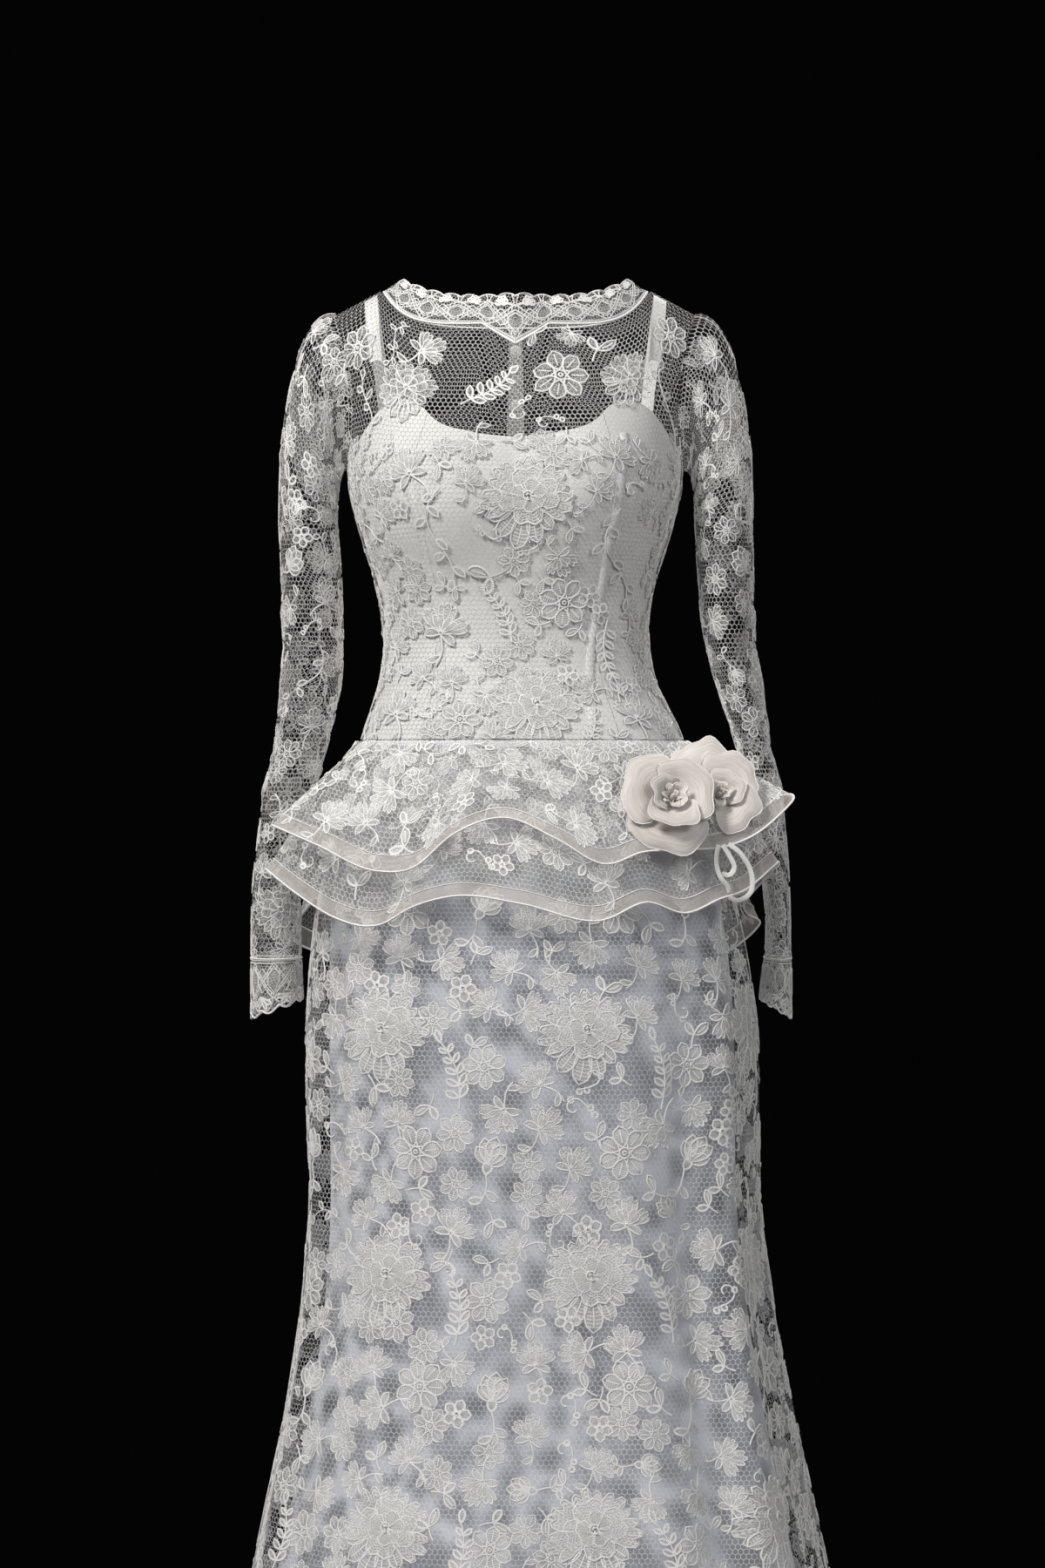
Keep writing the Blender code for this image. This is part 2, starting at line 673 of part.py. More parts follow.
def build_neck_edging():
    """Scalloped band round the neckline, open at the centre back."""
    for name, side, low, high in (
        ("neck_edging_front", 1, -BAND_END, BAND_END),
        ("neck_edging_back_right", -1, -BAND_END, -SEAM_ANGLE),
        ("neck_edging_back_left", -1, SEAM_ANGLE, BAND_END),
    ):
        steps = round(BAND_STEPS_FRONT * (high - low) / 2)
        place = np.linspace(round(low), round(high), steps + 1)
        place[0] = low
        place[-1] = high
        x = NECK_X * place
        foot, foot_normals = bodice_row(x, 1.0, side)
        y = foot[:, 1]
        inside = np.abs(x) / NECK_X
        crest = BAND_FRONT_Z if side > 0 else BAND_BACK_Z
        top_z = crest + (BAND_SIDE_Z - crest) * inside ** BAND_CURVE
        top_y = y + side * BAND_LEAN * np.sqrt(1 - inside ** 2)
        crown = np.stack([x * BAND_NECK_X / NECK_X, top_y, top_z], axis=-1)
        rise = (crown - foot) / np.linalg.norm(crown - foot, axis=-1, keepdims=True)
        foot = foot + rise * BAND_GAP
        middle = (foot + crown) / 2
        middle[:, 1] -= side * BAND_BOW
        points = np.array([foot, middle, crown])
        normals = grid_normals(points, False) * side
        normals[0] = foot_normals
        points[-1, 1::2, 2] += BAND_SCALLOP
        add_wall(name, points + normals * LACE_LAYER, points + normals * (LACE_LAYER + CLOTH), "lace")


def build_skirt(prefix, surface, heights, steps, layer, material):
    """Skirt of one front and two back panels hung from the waist seam."""
    lines = np.array([WAIST_SEAM_Z - SEAM_GAP] + list(heights))
    for part, low, high in (("front", -90, 90), ("back_right", -180, -90), ("back_left", 90, 180)):
        angles = panel_angles(low, high, steps, lines)
        grid_lines = np.tile(lines[:, None], (1, angles.shape[1]))
        add_layer(f"{prefix}_{part}", surface, angles, grid_lines, layer, material)


def build_peplum():
    """Two flared tiers with wavy hems and a thicker rolled edge."""
    for tier in TIER_LAYERS:
        for part, low, high in (("front", -90, 90), ("back_right", -180, -90), ("back_left", 90, 180)):
            angles = panel_angles(low, high, TIER_STEPS, (TIER_TOP_Z,) * len(TIER_SHARES))
            shares = np.tile(np.array(TIER_SHARES)[:, None], (1, angles.shape[1]))
            surface = (lambda name: lambda angle, share: tier_point(angle, share, name))(tier)
            points, normals = with_normals(surface, angles, shares)
            roll = np.where(shares >= 1.0, TIER_ROLL, 0.0)[..., None]
            add_wall(f"peplum_{tier}_{part}", points, points - normals * (CLOTH + roll), "lace")


def armhole_ring(sign):
    """Points round an armhole just outside the bodice, from the underarm up the front and down the back."""
    ring = []
    shares = np.array(YOKE_SHARES)
    for side in (1, -1):
        angle = sign * (math.pi / 2 - side * SEAM_ANGLE)
        points, normals = with_normals(bodice_surface(side), np.full(len(shares), angle), shares)
        points = points + normals * (LACE_LAYER + CLOTH + SEAM_GAP)
        ring.append(points)
    front, back = ring
    underarm = (front[0] + back[0]) / 2
    shoulder = (front[-1] + back[-1]) / 2
    order = [underarm] + list(front[1:-1]) + [shoulder] + list(back[-2:0:-1])
    return np.array(order)


def sleeve_ring(side, z, steps):
    """Oval section of a sleeve, in the armhole ring's order."""
    table = SLEEVES[side]
    sign = 1 if side == "left" else -1
    turn = np.arange(steps) * 2 * math.pi / steps
    read = {name: smooth(z, table["z"], table[name]) for name in SLEEVE_COLUMNS[1:]}
    x = sign * (read["x"] - read["half_x"] * np.cos(turn))
    y = read["y"] - read["half_y"] * np.sin(turn)
    return np.stack([x, y, z + 0 * x], axis=-1)


def build_sleeves():
    """Long set-in sleeves with a softly raised head."""
    for side, sign in (("right", -1), ("left", 1)):
        start = armhole_ring(sign)
        steps = len(start)
        end = sleeve_ring(side, SLEEVE_Z[0], steps)
        reach = np.linalg.norm(end - start, axis=-1, keepdims=True)
        leave = start + reach * HEAD_LEAVE * np.array([sign, 0, HEAD_LIFT])
        arrive = end + reach * HEAD_ARRIVE * np.array([0, 0, 1.0])
        rows = []
        for t in HEAD_SHARES:
            rest = 1 - t
            near = rest ** 3 * start + 3 * rest ** 2 * t * leave
            far = 3 * rest * t ** 2 * arrive + t ** 3 * end
            rows.append(near + far)
        rows += [sleeve_ring(side, z, steps) for z in SLEEVE_Z]
        points = np.array(rows)
        normals = grid_normals(points, True) * -sign
        add_wall(f"sleeve_{side}", points, points + normals * CLOTH, "lace", closed=True)
        build_cuff(side)


def build_cuff(side):
    """Scalloped edging below a sleeve."""
    turn = np.arange(CUFF_STEPS) * 2 * math.pi / CUFF_STEPS
    hem = CUFF_INNER_Z + (CUFF_OUTER_Z - CUFF_INNER_Z) * (1 - np.cos(turn)) / 2
    hem = hem - CUFF_SCALLOP * np.abs(np.sin(turn * CUFF_SCALLOPS / 2))
    top = sleeve_ring(side, SLEEVE_END_Z - SEAM_GAP, CUFF_STEPS)
    rows = [top]
    for share in CUFF_SHARES:
        ring = sleeve_ring(side, SLEEVE_END_Z + (CUFF_READ_Z - SLEEVE_END_Z) * share, CUFF_STEPS)
        ring[:, 2] = top[:, 2] + (hem - top[:, 2]) * share
        rows.append(ring)
    points = np.array(rows)
    sign = 1 if side == "left" else -1
    normals = grid_normals(points, True) * -sign
    add_wall(f"cuff_edging_{side}", points, points + normals * CLOTH, "lace", closed=True)


def rose_frame(place):
    """Matrix that stands a rose on the upper tier, with its axis along +Z of its own space."""
    angle = np.array([math.radians(place["angle"])])
    share = np.array([place["share"]])
    points, normals = with_normals(lambda a, s: tier_point(a, s, "upper"), angle, share)
    normal = Vector(-normals[0])
    axis = (normal + Vector((0, -1, 0)) * place["face"]).normalized()
    foot = Vector(points[0]) + normal * CLOTH + axis * place["stand"]
    return Matrix.Translation(foot) @ axis.to_track_quat("Z", "Y").to_matrix().to_4x4(), axis.dot(normal)


def petal_grid(row, shell):
    """Inner points of one cupped petal, in the rose's own space."""
    turns = np.linspace(-1, 1, PETAL_COLUMNS_ACROSS + 1)
    round_tip = np.clip(1 - np.abs(turns) ** PETAL_TIP_POWER, 0, 1) ** 0.5
    round_tip = round_tip * (1 - PETAL_SIDE_LENGTH) + PETAL_SIDE_LENGTH
    rows = []
    for share in PETAL_SHARES:
        cup = np.radians(row["cup"] + PETAL_OPEN * (share * round_tip) ** 2)
        reach = row["length"] * share * round_tip
        radius = PETAL_ROOT + PETAL_STEP * shell + reach * np.sin(cup)
        angle = np.radians(row["turn"] + row["spread"] * turns)
        height = reach * np.cos(cup) - PETAL_SINK * shell
        rows.append(np.stack([radius * np.cos(angle), radius * np.sin(angle), height], axis=-1))
    return np.array(rows)


def tier_tree(tier):
    """Search tree of a tier's front piece, to seat trims on its facets."""
    mesh = bpy.data.objects[f"peplum_{tier}_front"].data
    corners = [vertex.co for vertex in mesh.vertices]
    return BVHTree.FromPolygons(corners, [face.vertices for face in mesh.polygons])


def stem_drop(frame):
    """Shortest way from the disc under a rose down its axis to the upper tier's outside."""
    tree = tier_tree("upper")
    down = frame.to_3x3() @ Vector((0, 0, -1))
    ways = []
    for radius in (0, STEM_RADIUS / 2, STEM_RADIUS):
        for step in range(ROUND_SEGMENTS):
            turn = 2 * math.pi * step / ROUND_SEGMENTS
            start = frame @ Vector((radius * math.cos(turn), radius * math.sin(turn), 0))
            ways.append(tree.ray_cast(start, down)[3])
    return min(ways)


def build_rose(name, place):
    """Fabric rose: a short stem, a domed heart and cupped petals nested round it."""
    frame, upright = rose_frame(place)
    length = stem_drop(frame) - SEAM_GAP - SEAM_GAP / upright
    bm = bmesh.new()
    bmesh.ops.create_cone(
        bm, cap_ends=True, segments=ROUND_SEGMENTS, radius1=STEM_RADIUS, radius2=STEM_RADIUS, depth=length
    )
    bm.transform(frame @ Matrix.Translation((0, 0, -SEAM_GAP - length / 2)))
    mesh = bpy.data.meshes.new(f"{name}_stem")
    bm.to_mesh(mesh)
    bm.free()
    add_object(f"{name}_stem", mesh, "organza")
    bm = bmesh.new()
    bmesh.ops.create_uvsphere(bm, u_segments=ROUND_SEGMENTS, v_segments=HEART_RINGS, radius=1.0)
    size = Matrix.Diagonal((HEART_RADIUS, HEART_RADIUS, HEART_HEIGHT / 2, 1))
    bm.transform(frame @ Matrix.Translation((0, 0, HEART_HEIGHT / 2)) @ size)
    mesh = bpy.data.meshes.new(f"{name}_heart")
    bm.to_mesh(mesh)
    bm.free()
    add_object(f"{name}_heart", mesh, "organza")
    for shell, values in enumerate(place["rows"]):
        row = dict(zip(PETAL_COLUMNS, values))
        inner = petal_grid(row, shell)
        outward = grid_normals(inner, False)
        outer = inner + outward * PETAL_THICK
        grids = [np.array([[frame @ Vector(p) for p in line] for line in grid]) for grid in (inner, outer)]
        add_wall(f"{name}_petal_{shell + 1}", grids[0], grids[1], "organza")


def ribbon_line(index, knot_x, knot_z):
    """Middle line of a ribbon loop in its upright plane, and half its width across that line."""
    steps = np.array(RIBBON_LOOPS[index])
    places = np.linspace(0, 1, len(steps))
    at = np.linspace(0, 1, RIBBON_STEPS + 1)
    x = knot_x + smooth(at, places, steps[:, 0])
    z = knot_z + smooth(at, places, steps[:, 1])
    line = np.stack([x, 0 * x, z], axis=-1)
    side = np.cross(np.gradient(line, axis=0), [0, 1, 0])
    return line, side * RIBBON_WIDTH / 2 / np.linalg.norm(side, axis=-1, keepdims=True)


def ribbon_seat(knot_x, knot_z):
    """Depth of the first loop's back face, so that the loops just clear both tiers."""
    trees = [tier_tree(tier) for tier in TIER_LAYERS]
    ahead = Vector((0, 1, 0))
    depths = []
    for index in range(len(RIBBON_LOOPS)):
        line, side = ribbon_line(index, knot_x, knot_z)
        for across in np.linspace(-1, 1, RIBBON_SEAT_SAMPLES):
            edge = line + side * across
            for share in np.linspace(0, 1, RIBBON_SEAT_SAMPLES):
                for place in edge[:-1] + (edge[1:] - edge[:-1]) * share:
                    eye = Vector((place[0], RIBBON_EYE_Y, place[2]))
                    hits = [tree.ray_cast(eye, ahead)[0] for tree in trees]
                    depths += [hit.y + RIBBON_SPACING * index for hit in hits if hit]
    return min(depths) - RIBBON_CLEAR


def build_ribbons():
    """Three narrow organza loops hanging below the front rose."""
    angle = np.array([math.radians(RIBBON_KNOT_ANGLE)])
    share = np.array([RIBBON_KNOT_SHARE])
    knot = tier_point(angle, share, "upper")[0]
    back_y = ribbon_seat(knot[0], knot[2])
    for index in range(len(RIBBON_LOOPS)):
        line, side = ribbon_line(index, knot[0], knot[2])
        line[:, 1] = back_y - RIBBON_SPACING * index
        back = np.array([line - side, line + side])
        front = back - np.array([0, RIBBON_THICK, 0])
        add_wall(f"ribbon_loop_{index + 1}", back, front, "organza")


def build_closure():
    """Centre back placket with a row of covered buttons."""
    lines = np.array(torso_lines() + list(YOKE_SHARES))
    half = math.asin(PLACKET_HALF / BODY["half"].min())
    angles = math.pi + np.array([-half, 0, half])
    grid_angles, grid_lines = np.meshgrid(angles, lines)
    add_layer("back_placket", bodice_surface(-1), grid_angles, grid_lines, PLACKET_LAYER, "lace")
    below = np.linspace(TORSO_ROW_Z[0] - ARMPIT_Z, 0, SPINE_SAMPLES)
    samples = np.concatenate([below, np.linspace(SPINE_FIRST_SHARE, 1, SPINE_SAMPLES)])
    spine, outward = with_normals(bodice_surface(-1), np.full(len(samples), math.pi), samples)
    for index, z in enumerate(np.linspace(BUTTON_LOW_Z, BUTTON_HIGH_Z, BUTTON_COUNT)):
        nearest = np.argmin(np.abs(spine[:, 2] - z))
        normal = Vector(outward[nearest])
        foot = Vector(spine[nearest]) + normal * (PLACKET_LAYER + CLOTH + 2 * SEAM_GAP)
        bm = bmesh.new()
        bmesh.ops.create_uvsphere(bm, u_segments=BUTTON_SEGMENTS, v_segments=BUTTON_RINGS, radius=1.0)
        size = Matrix.Diagonal((BUTTON_RADIUS, BUTTON_RADIUS, BUTTON_DOME / 2, 1))
        turn = normal.to_track_quat("Z", "Y").to_matrix().to_4x4()
        bm.transform(Matrix.Translation(foot + normal * BUTTON_DOME / 2) @ turn @ size)
        mesh = bpy.data.meshes.new(f"back_button_{index + 1}")
        bm.to_mesh(mesh)
        bm.free()
        add_object(f"back_button_{index + 1}", mesh, "slip")


def main():
    for old in list(bpy.data.objects):
        bpy.data.objects.remove(old)
    collection = bpy.data.collections.new(COLLECTION)
    bpy.context.scene.collection.children.link(collection)
    for name, colour in COLOURS.items():
        make_material(name, colour)
    build_lining_bodice()
    build_straps()
    build_lace_bodice()
    build_neck_edging()
    build_skirt("lining_skirt", lining_skirt_point, LINING_SKIRT_Z, LINING_SKIRT_STEPS, LINING_LAYER, "slip")
    build_skirt("lace_skirt", lace_skirt_point, LACE_SKIRT_Z, LACE_SKIRT_STEPS, LACE_LAYER, "lace")
    build_peplum()
    build_sleeves()
    for name, place in ROSE_PLACES.items():
        build_rose(name, place)
    build_ribbons()
    build_closure()


main()
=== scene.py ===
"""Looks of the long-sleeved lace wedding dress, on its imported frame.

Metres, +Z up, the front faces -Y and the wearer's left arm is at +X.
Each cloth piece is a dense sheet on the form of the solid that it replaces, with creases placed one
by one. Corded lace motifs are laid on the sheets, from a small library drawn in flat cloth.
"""
import math

import bpy
import numpy as np
from mathutils import Matrix, Vector


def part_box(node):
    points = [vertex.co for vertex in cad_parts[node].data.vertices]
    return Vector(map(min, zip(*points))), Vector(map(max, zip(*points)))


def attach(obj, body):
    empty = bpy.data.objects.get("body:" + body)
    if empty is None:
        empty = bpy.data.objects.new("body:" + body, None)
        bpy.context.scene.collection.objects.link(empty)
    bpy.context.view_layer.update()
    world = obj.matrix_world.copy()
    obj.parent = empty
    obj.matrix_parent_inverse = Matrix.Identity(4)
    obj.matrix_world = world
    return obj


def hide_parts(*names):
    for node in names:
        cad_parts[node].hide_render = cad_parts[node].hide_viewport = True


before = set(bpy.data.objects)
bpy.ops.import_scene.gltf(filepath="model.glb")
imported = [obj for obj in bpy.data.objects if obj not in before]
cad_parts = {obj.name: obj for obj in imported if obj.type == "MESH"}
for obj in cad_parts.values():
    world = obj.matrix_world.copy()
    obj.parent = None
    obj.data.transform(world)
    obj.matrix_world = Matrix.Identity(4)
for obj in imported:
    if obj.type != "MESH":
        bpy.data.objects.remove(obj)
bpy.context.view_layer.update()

# Cloth thickness, and how far each layer lies outside the figure
CLOTH = 0.0012
LACE_LAYER = 0.0014
SEAM_GAP = 0.0003
SEAM_ANGLE = 0.0016

# Heights of the main lines
ARMPIT_Z = -0.155
WAIST_SEAM_Z = -0.4105
LINING_HEM_Z = -1.425
LACE_HEM_Z = -1.440

# Squareness of the body's oval sections
SQUARE = 0.12
NORMAL_STEP = 1e-4

# Sections of the figure: height, sideways centre, half width, front depth, back depth
BODY_COLUMNS = ("z", "centre", "half", "front", "back")
BODY_ROWS = (
    (-0.155, 0.000, 0.1555, 0.108, 0.100),
    (-0.180, 0.000, 0.1530, 0.107, 0.099),
    (-0.205, 0.000, 0.1465, 0.105, 0.097),
    (-0.230, 0.000, 0.1390, 0.101, 0.094),
    (-0.254, 0.000, 0.1313, 0.096, 0.091),
    (-0.279, 0.000, 0.1250, 0.091, 0.088),
    (-0.315, 0.001, 0.1222, 0.088, 0.086),
    (-0.353, 0.002, 0.1275, 0.090, 0.090),
    (-0.402, 0.006, 0.1465, 0.099, 0.103),
    (-0.430, 0.007, 0.1565, 0.103, 0.110),
    (-0.480, 0.008, 0.1690, 0.109, 0.118),
    (-0.530, 0.009, 0.1780, 0.113, 0.124),
    (-0.600, 0.012, 0.1860, 0.117, 0.128),
    (-0.672, 0.015, 0.1895, 0.119, 0.130),
    (-0.770, 0.016, 0.1900, 0.121, 0.132),
    (-0.845, 0.017, 0.1905, 0.124, 0.135),
    (-0.943, 0.019, 0.1985, 0.132, 0.145),
    (-1.041, 0.020, 0.2135, 0.147, 0.163),
    (-1.140, 0.020, 0.2330, 0.168, 0.187),
    (-1.240, 0.020, 0.2540, 0.190, 0.213),
    (-1.340, 0.020, 0.2770, 0.212, 0.239),
    (-1.440, 0.020, 0.3010, 0.234, 0.265),
)

# Bust fullness on the front
BUST_X = 0.070
BUST_Z = -0.182
BUST_RISE = 0.015
BUST_SPREAD_X = 0.042
BUST_SPREAD_Z = 0.046

# Yoke: from the armpit line up to the neckline and the shoulder seams
TIP_X = 0.1685
TIP_Z = -0.011
NECK_SHARE = 0.75
NECK_X = TIP_X * NECK_SHARE
NECK_Z = 0.012
RIDGE_Y = 0.006
RIDGE_GAP = 0.00025
FRONT_NECK_Z = -0.028
BACK_NECK_Z = -0.014
NOTCH_DEPTH = 0.020
NOTCH_HALF = 0.030
FRONT_NECK_DEPTH = 0.074
BACK_NECK_DEPTH = 0.060
ARMHOLE_FRONT = 0.045
ARMHOLE_BACK = 0.048
SHOULDER_ROUND = 0.7
NECK_CURVE = 6
ARMHOLE_CURVE = 2.5
SIDE_SWITCH = 0.01
ARMHOLE_COLUMNS = ("share", "half")
ARMHOLE_ROWS = (
    (0.00, 0.1555),
    (0.30, 0.1520),
    (0.65, 0.1560),
    (1.00, 0.1685),
)

# Slip neckline: distance from the centre, height in front, height at the back
SLIP_COLUMNS = ("x", "front", "back")
SLIP_ROWS = (
    (0.000, -0.1318, -0.1330),
    (0.040, -0.1308, -0.1315),
    (0.080, -0.1200, -0.1290),
    (0.110, -0.0965, -0.1230),
    (0.126, -0.0930, -0.1220),
    (0.138, -0.1120, -0.1300),
    (0.156, -0.1500, -0.1500),
)
STRAP_TOP_X = 0.136
STRAP_LOW_X = 0.119
STRAP_WIDTH = 0.012
SLIP_EDGE_SHARE = 0.2

# Neck edging: a scalloped band standing on the yoke's neckline
BAND_NECK_X = 0.108
BAND_SIDE_Z = 0.020
BAND_FRONT_Z = -0.003
BAND_BACK_Z = 0.006
BAND_LEAN = 0.011
BAND_SCALLOP = 0.003
BAND_BOW = 0.002
BAND_CURVE = 4
BAND_END = 0.992

# Grid lines of the bodice
TORSO_ROW_Z = (WAIST_SEAM_Z + SEAM_GAP, -0.375, -0.340, -0.305, -0.270, -0.235, -0.205, -0.180)
YOKE_SHARES = (0.0, 0.15, 0.30, 0.45, 0.60, 0.75, 0.87, 0.955, 1.0)
PRINCESS_FRONT = 33.75
PRINCESS_BACK = 135.0

# Lace skirt: how far it stands off the slip, and its hanging folds
EASE_COLUMNS = ("z", "ease")
EASE_ROWS = (
    (-0.4100, 0.0000),
    (-0.4500, 0.0020),
    (-0.5200, 0.0080),
    (-0.6000, 0.0150),
    (-0.6720, 0.0195),
    (-0.8450, 0.0195),
    (-0.9430, 0.0215),
    (-1.4400, 0.0240),
)
# Folds: angle, half spread in degrees, push out (+) or in (-) at the hem, height where it starts
FOLD_COLUMNS = ("angle", "spread", "push", "start")
FOLD_ROWS = (
    (-150, 7, 0.016, -0.60),
    (-132, 8, -0.015, -0.62),
    (-112, 7, 0.014, -0.70),
    (-82, 6, -0.010, -0.75),
    (-66, 5, 0.010, -0.60),
    (-50, 6, -0.010, -0.62),
    (-24, 9, 0.006, -0.85),
    (8, 10, -0.006, -0.90),
    (28, 6, 0.010, -0.66),
    (38, 5, -0.020, -0.62),
    (49, 6, 0.013, -0.66),
    (72, 7, -0.009, -0.75),
    (100, 8, 0.012, -0.70),
    (122, 8, -0.015, -0.62),
    (143, 7, 0.016, -0.60),
    (166, 6, -0.014, -0.66),
)
FOLD_GROWTH = 0.6

# Peplum tiers: angle, how far the hem stands out, how far it drops
PEPLUM_COLUMNS = ("angle", "out", "drop")
UPPER_TIER_ROWS = (
    (-180, 0.080, 0.150),
    (-155, 0.084, 0.158),
    (-128, 0.098, 0.150),
    (-117, 0.090, 0.136),
    (-106, 0.058, 0.112),
    (-90, 0.042, 0.094),
    (-76, 0.066, 0.083),
    (-62, 0.094, 0.078),
    (-49, 0.080, 0.094),
    (-33, 0.064, 0.118),
    (-24, 0.060, 0.114),
    (-16, 0.052, 0.086),
    (-4, 0.042, 0.070),
    (8, 0.054, 0.090),
    (17, 0.063, 0.111),
    (27, 0.060, 0.101),
    (40, 0.060, 0.099),
    (52, 0.074, 0.095),
    (60, 0.088, 0.082),
    (68, 0.106, 0.056),
    (77, 0.092, 0.050),
    (90, 0.050, 0.080),
    (106, 0.062, 0.112),
    (117, 0.092, 0.136),
    (128, 0.098, 0.150),
    (155, 0.084, 0.158),
    (180, 0.080, 0.150),
)
LOWER_TIER_ROWS = (
    (-180, 0.082, 0.206),
    (-155, 0.088, 0.214),
    (-132, 0.100, 0.206),
    (-121, 0.100, 0.190),
    (-112, 0.074, 0.170),
    (-103, 0.050, 0.152),
    (-90, 0.048, 0.148),
    (-77, 0.070, 0.130),
    (-65, 0.098, 0.118),
    (-56, 0.086, 0.138),
    (-45, 0.070, 0.161),
    (-33, 0.062, 0.166),
    (-25, 0.058, 0.150),
    (-15, 0.056, 0.140),
    (0, 0.057, 0.147),
    (16, 0.065, 0.162),
    (29, 0.058, 0.146),
    (39, 0.062, 0.156),
    (50, 0.068, 0.144),
    (60, 0.078, 0.134),
    (68, 0.094, 0.112),
    (78, 0.078, 0.124),
    (90, 0.056, 0.150),
    (104, 0.066, 0.164),
    (117, 0.098, 0.176),
    (132, 0.100, 0.206),
    (155, 0.088, 0.214),
    (180, 0.082, 0.206),
)
TIER_LAYERS = {"lower": 0.0040, "upper": 0.0058}
TIER_CURVE = 0.95
TIER_TOP_Z = WAIST_SEAM_Z - 0.001

# Sleeves: height, centre and half size across (x) and along (y); x counts outwards
SLEEVE_COLUMNS = ("z", "x", "y", "half_x", "half_y")
SLEEVE_ROWS = {
    "right": (
        (-0.205, 0.1955, 0.004, 0.0265, 0.052),
        (-0.254, 0.1925, 0.006, 0.0270, 0.050),
        (-0.303, 0.1915, 0.009, 0.0275, 0.047),
        (-0.353, 0.1930, 0.013, 0.0275, 0.045),
        (-0.402, 0.2010, 0.018, 0.0250, 0.043),
        (-0.450, 0.2120, 0.022, 0.0240, 0.041),
        (-0.500, 0.2200, 0.024, 0.0230, 0.039),
        (-0.550, 0.2260, 0.024, 0.0225, 0.037),
        (-0.600, 0.2270, 0.022, 0.0225, 0.035),
        (-0.640, 0.2262, 0.020, 0.0230, 0.035),
        (-0.680, 0.2255, 0.018, 0.0240, 0.036),
    ),
    "left": (
        (-0.205, 0.1965, 0.004, 0.0262, 0.052),
        (-0.254, 0.1980, 0.006, 0.0250, 0.050),
        (-0.303, 0.2010, 0.009, 0.0235, 0.049),
        (-0.353, 0.2107, 0.013, 0.0210, 0.047),
        (-0.402, 0.2220, 0.018, 0.0160, 0.046),
        (-0.450, 0.2345, 0.022, 0.0145, 0.044),
        (-0.500, 0.2420, 0.024, 0.0130, 0.042),
        (-0.550, 0.2475, 0.024, 0.0110, 0.040),
        (-0.600, 0.2490, 0.022, 0.0105, 0.038),
        (-0.640, 0.2470, 0.020, 0.0130, 0.037),
        (-0.680, 0.2450, 0.018, 0.0145, 0.037),
    ),
}
SLEEVE_END_Z = -0.615
SLEEVE_Z = (-0.205, -0.254, -0.303, -0.353, -0.402, -0.450, -0.500, -0.560, SLEEVE_END_Z)
HEAD_LEAVE = 0.17
HEAD_ARRIVE = 0.55
HEAD_LIFT = 0.14
CUFF_OUTER_Z = -0.668
CUFF_INNER_Z = -0.650
CUFF_SCALLOP = 0.005
CUFF_SCALLOPS = 9
CUFF_READ_Z = -0.655

# Roses: petal length, cup angle from the axis, spread, in order from the middle
PETAL_COLUMNS = ("length", "cup", "spread", "turn")
ROSE_FRONT_ROWS = (
    (0.017, 16, 100, 20),
    (0.023, 28, 95, 150),
    (0.029, 40, 92, 265),
    (0.035, 52, 88, 30),
    (0.038, 62, 84, 150),
    (0.039, 70, 80, 262),
)
ROSE_BACK_ROWS = (
    (0.012, 20, 95, 60),
    (0.022, 44, 84, 40),
    (0.033, 60, 66, -35),
    (0.036, 66, 62, 60),
    (0.046, 72, 44, 112),
)
PETAL_STEP = 0.0016
PETAL_SINK = 0.0012
PETAL_ROOT = 0.0034
PETAL_OPEN = 16
PETAL_TIP_POWER = 3.0
PETAL_SIDE_LENGTH = 0.28
ROSE_PLACES = {
    "rose_front": {"angle": 39.0, "share": 0.60, "stand": 0.0150, "face": 0.45, "rows": ROSE_FRONT_ROWS},
    "rose_back": {"angle": 56.0, "share": 0.60, "stand": 0.0100, "face": 1.50, "rows": ROSE_BACK_ROWS},
}

# Ribbon loops: sideways and downward steps from the knot, one list for each loop
RIBBON_LOOPS = (
    ((0.000, 0.000), (-0.002, -0.014), (0.001, -0.028), (0.008, -0.037), (0.010, -0.043)),
    ((0.004, 0.000), (0.010, -0.010), (0.014, -0.020), (0.010, -0.027), (0.003, -0.026)),
    ((0.009, 0.001), (0.020, -0.008), (0.029, -0.024), (0.029, -0.042), (0.018, -0.050), (0.009, -0.047)),
)
RIBBON_WIDTH = 0.0042
RIBBON_KNOT_ANGLE = 49.0
RIBBON_KNOT_SHARE = 0.97
RIBBON_STEPS = 12

# Centre back closure
BUTTON_COUNT = 8


def columns(names, rows):
    """Turn a table of rows into one array for each named column."""
    return {name: np.array([row[i] for row in rows], dtype=float) for i, name in enumerate(names)}


def smooth(at, places, values):
    """Read a column at any place with a smooth cubic through its rows."""
    order = np.argsort(places)
    places = places[order]
    values = values[order]
    slopes = np.gradient(values, places)
    at = np.clip(at, places[0], places[-1])
    low = np.clip(np.searchsorted(places, at) - 1, 0, len(places) - 2)
    span = places[low + 1] - places[low]
    s = (at - places[low]) / span
    start = values[low] * (2 * s ** 3 - 3 * s ** 2 + 1) + slopes[low] * span * (s ** 3 - 2 * s ** 2 + s)
    end = values[low + 1] * (3 * s ** 2 - 2 * s ** 3) + slopes[low + 1] * span * (s ** 3 - s ** 2)
    return start + end


BODY = columns(BODY_COLUMNS, BODY_ROWS)
ARMHOLE = columns(ARMHOLE_COLUMNS, ARMHOLE_ROWS)
SLIP = columns(SLIP_COLUMNS, SLIP_ROWS)
EASE = columns(EASE_COLUMNS, EASE_ROWS)
FOLDS = columns(FOLD_COLUMNS, FOLD_ROWS)
TIERS = {
    "upper": columns(PEPLUM_COLUMNS, UPPER_TIER_ROWS),
    "lower": columns(PEPLUM_COLUMNS, LOWER_TIER_ROWS),
}
SLEEVES = {side: columns(SLEEVE_COLUMNS, rows) for side, rows in SLEEVE_ROWS.items()}


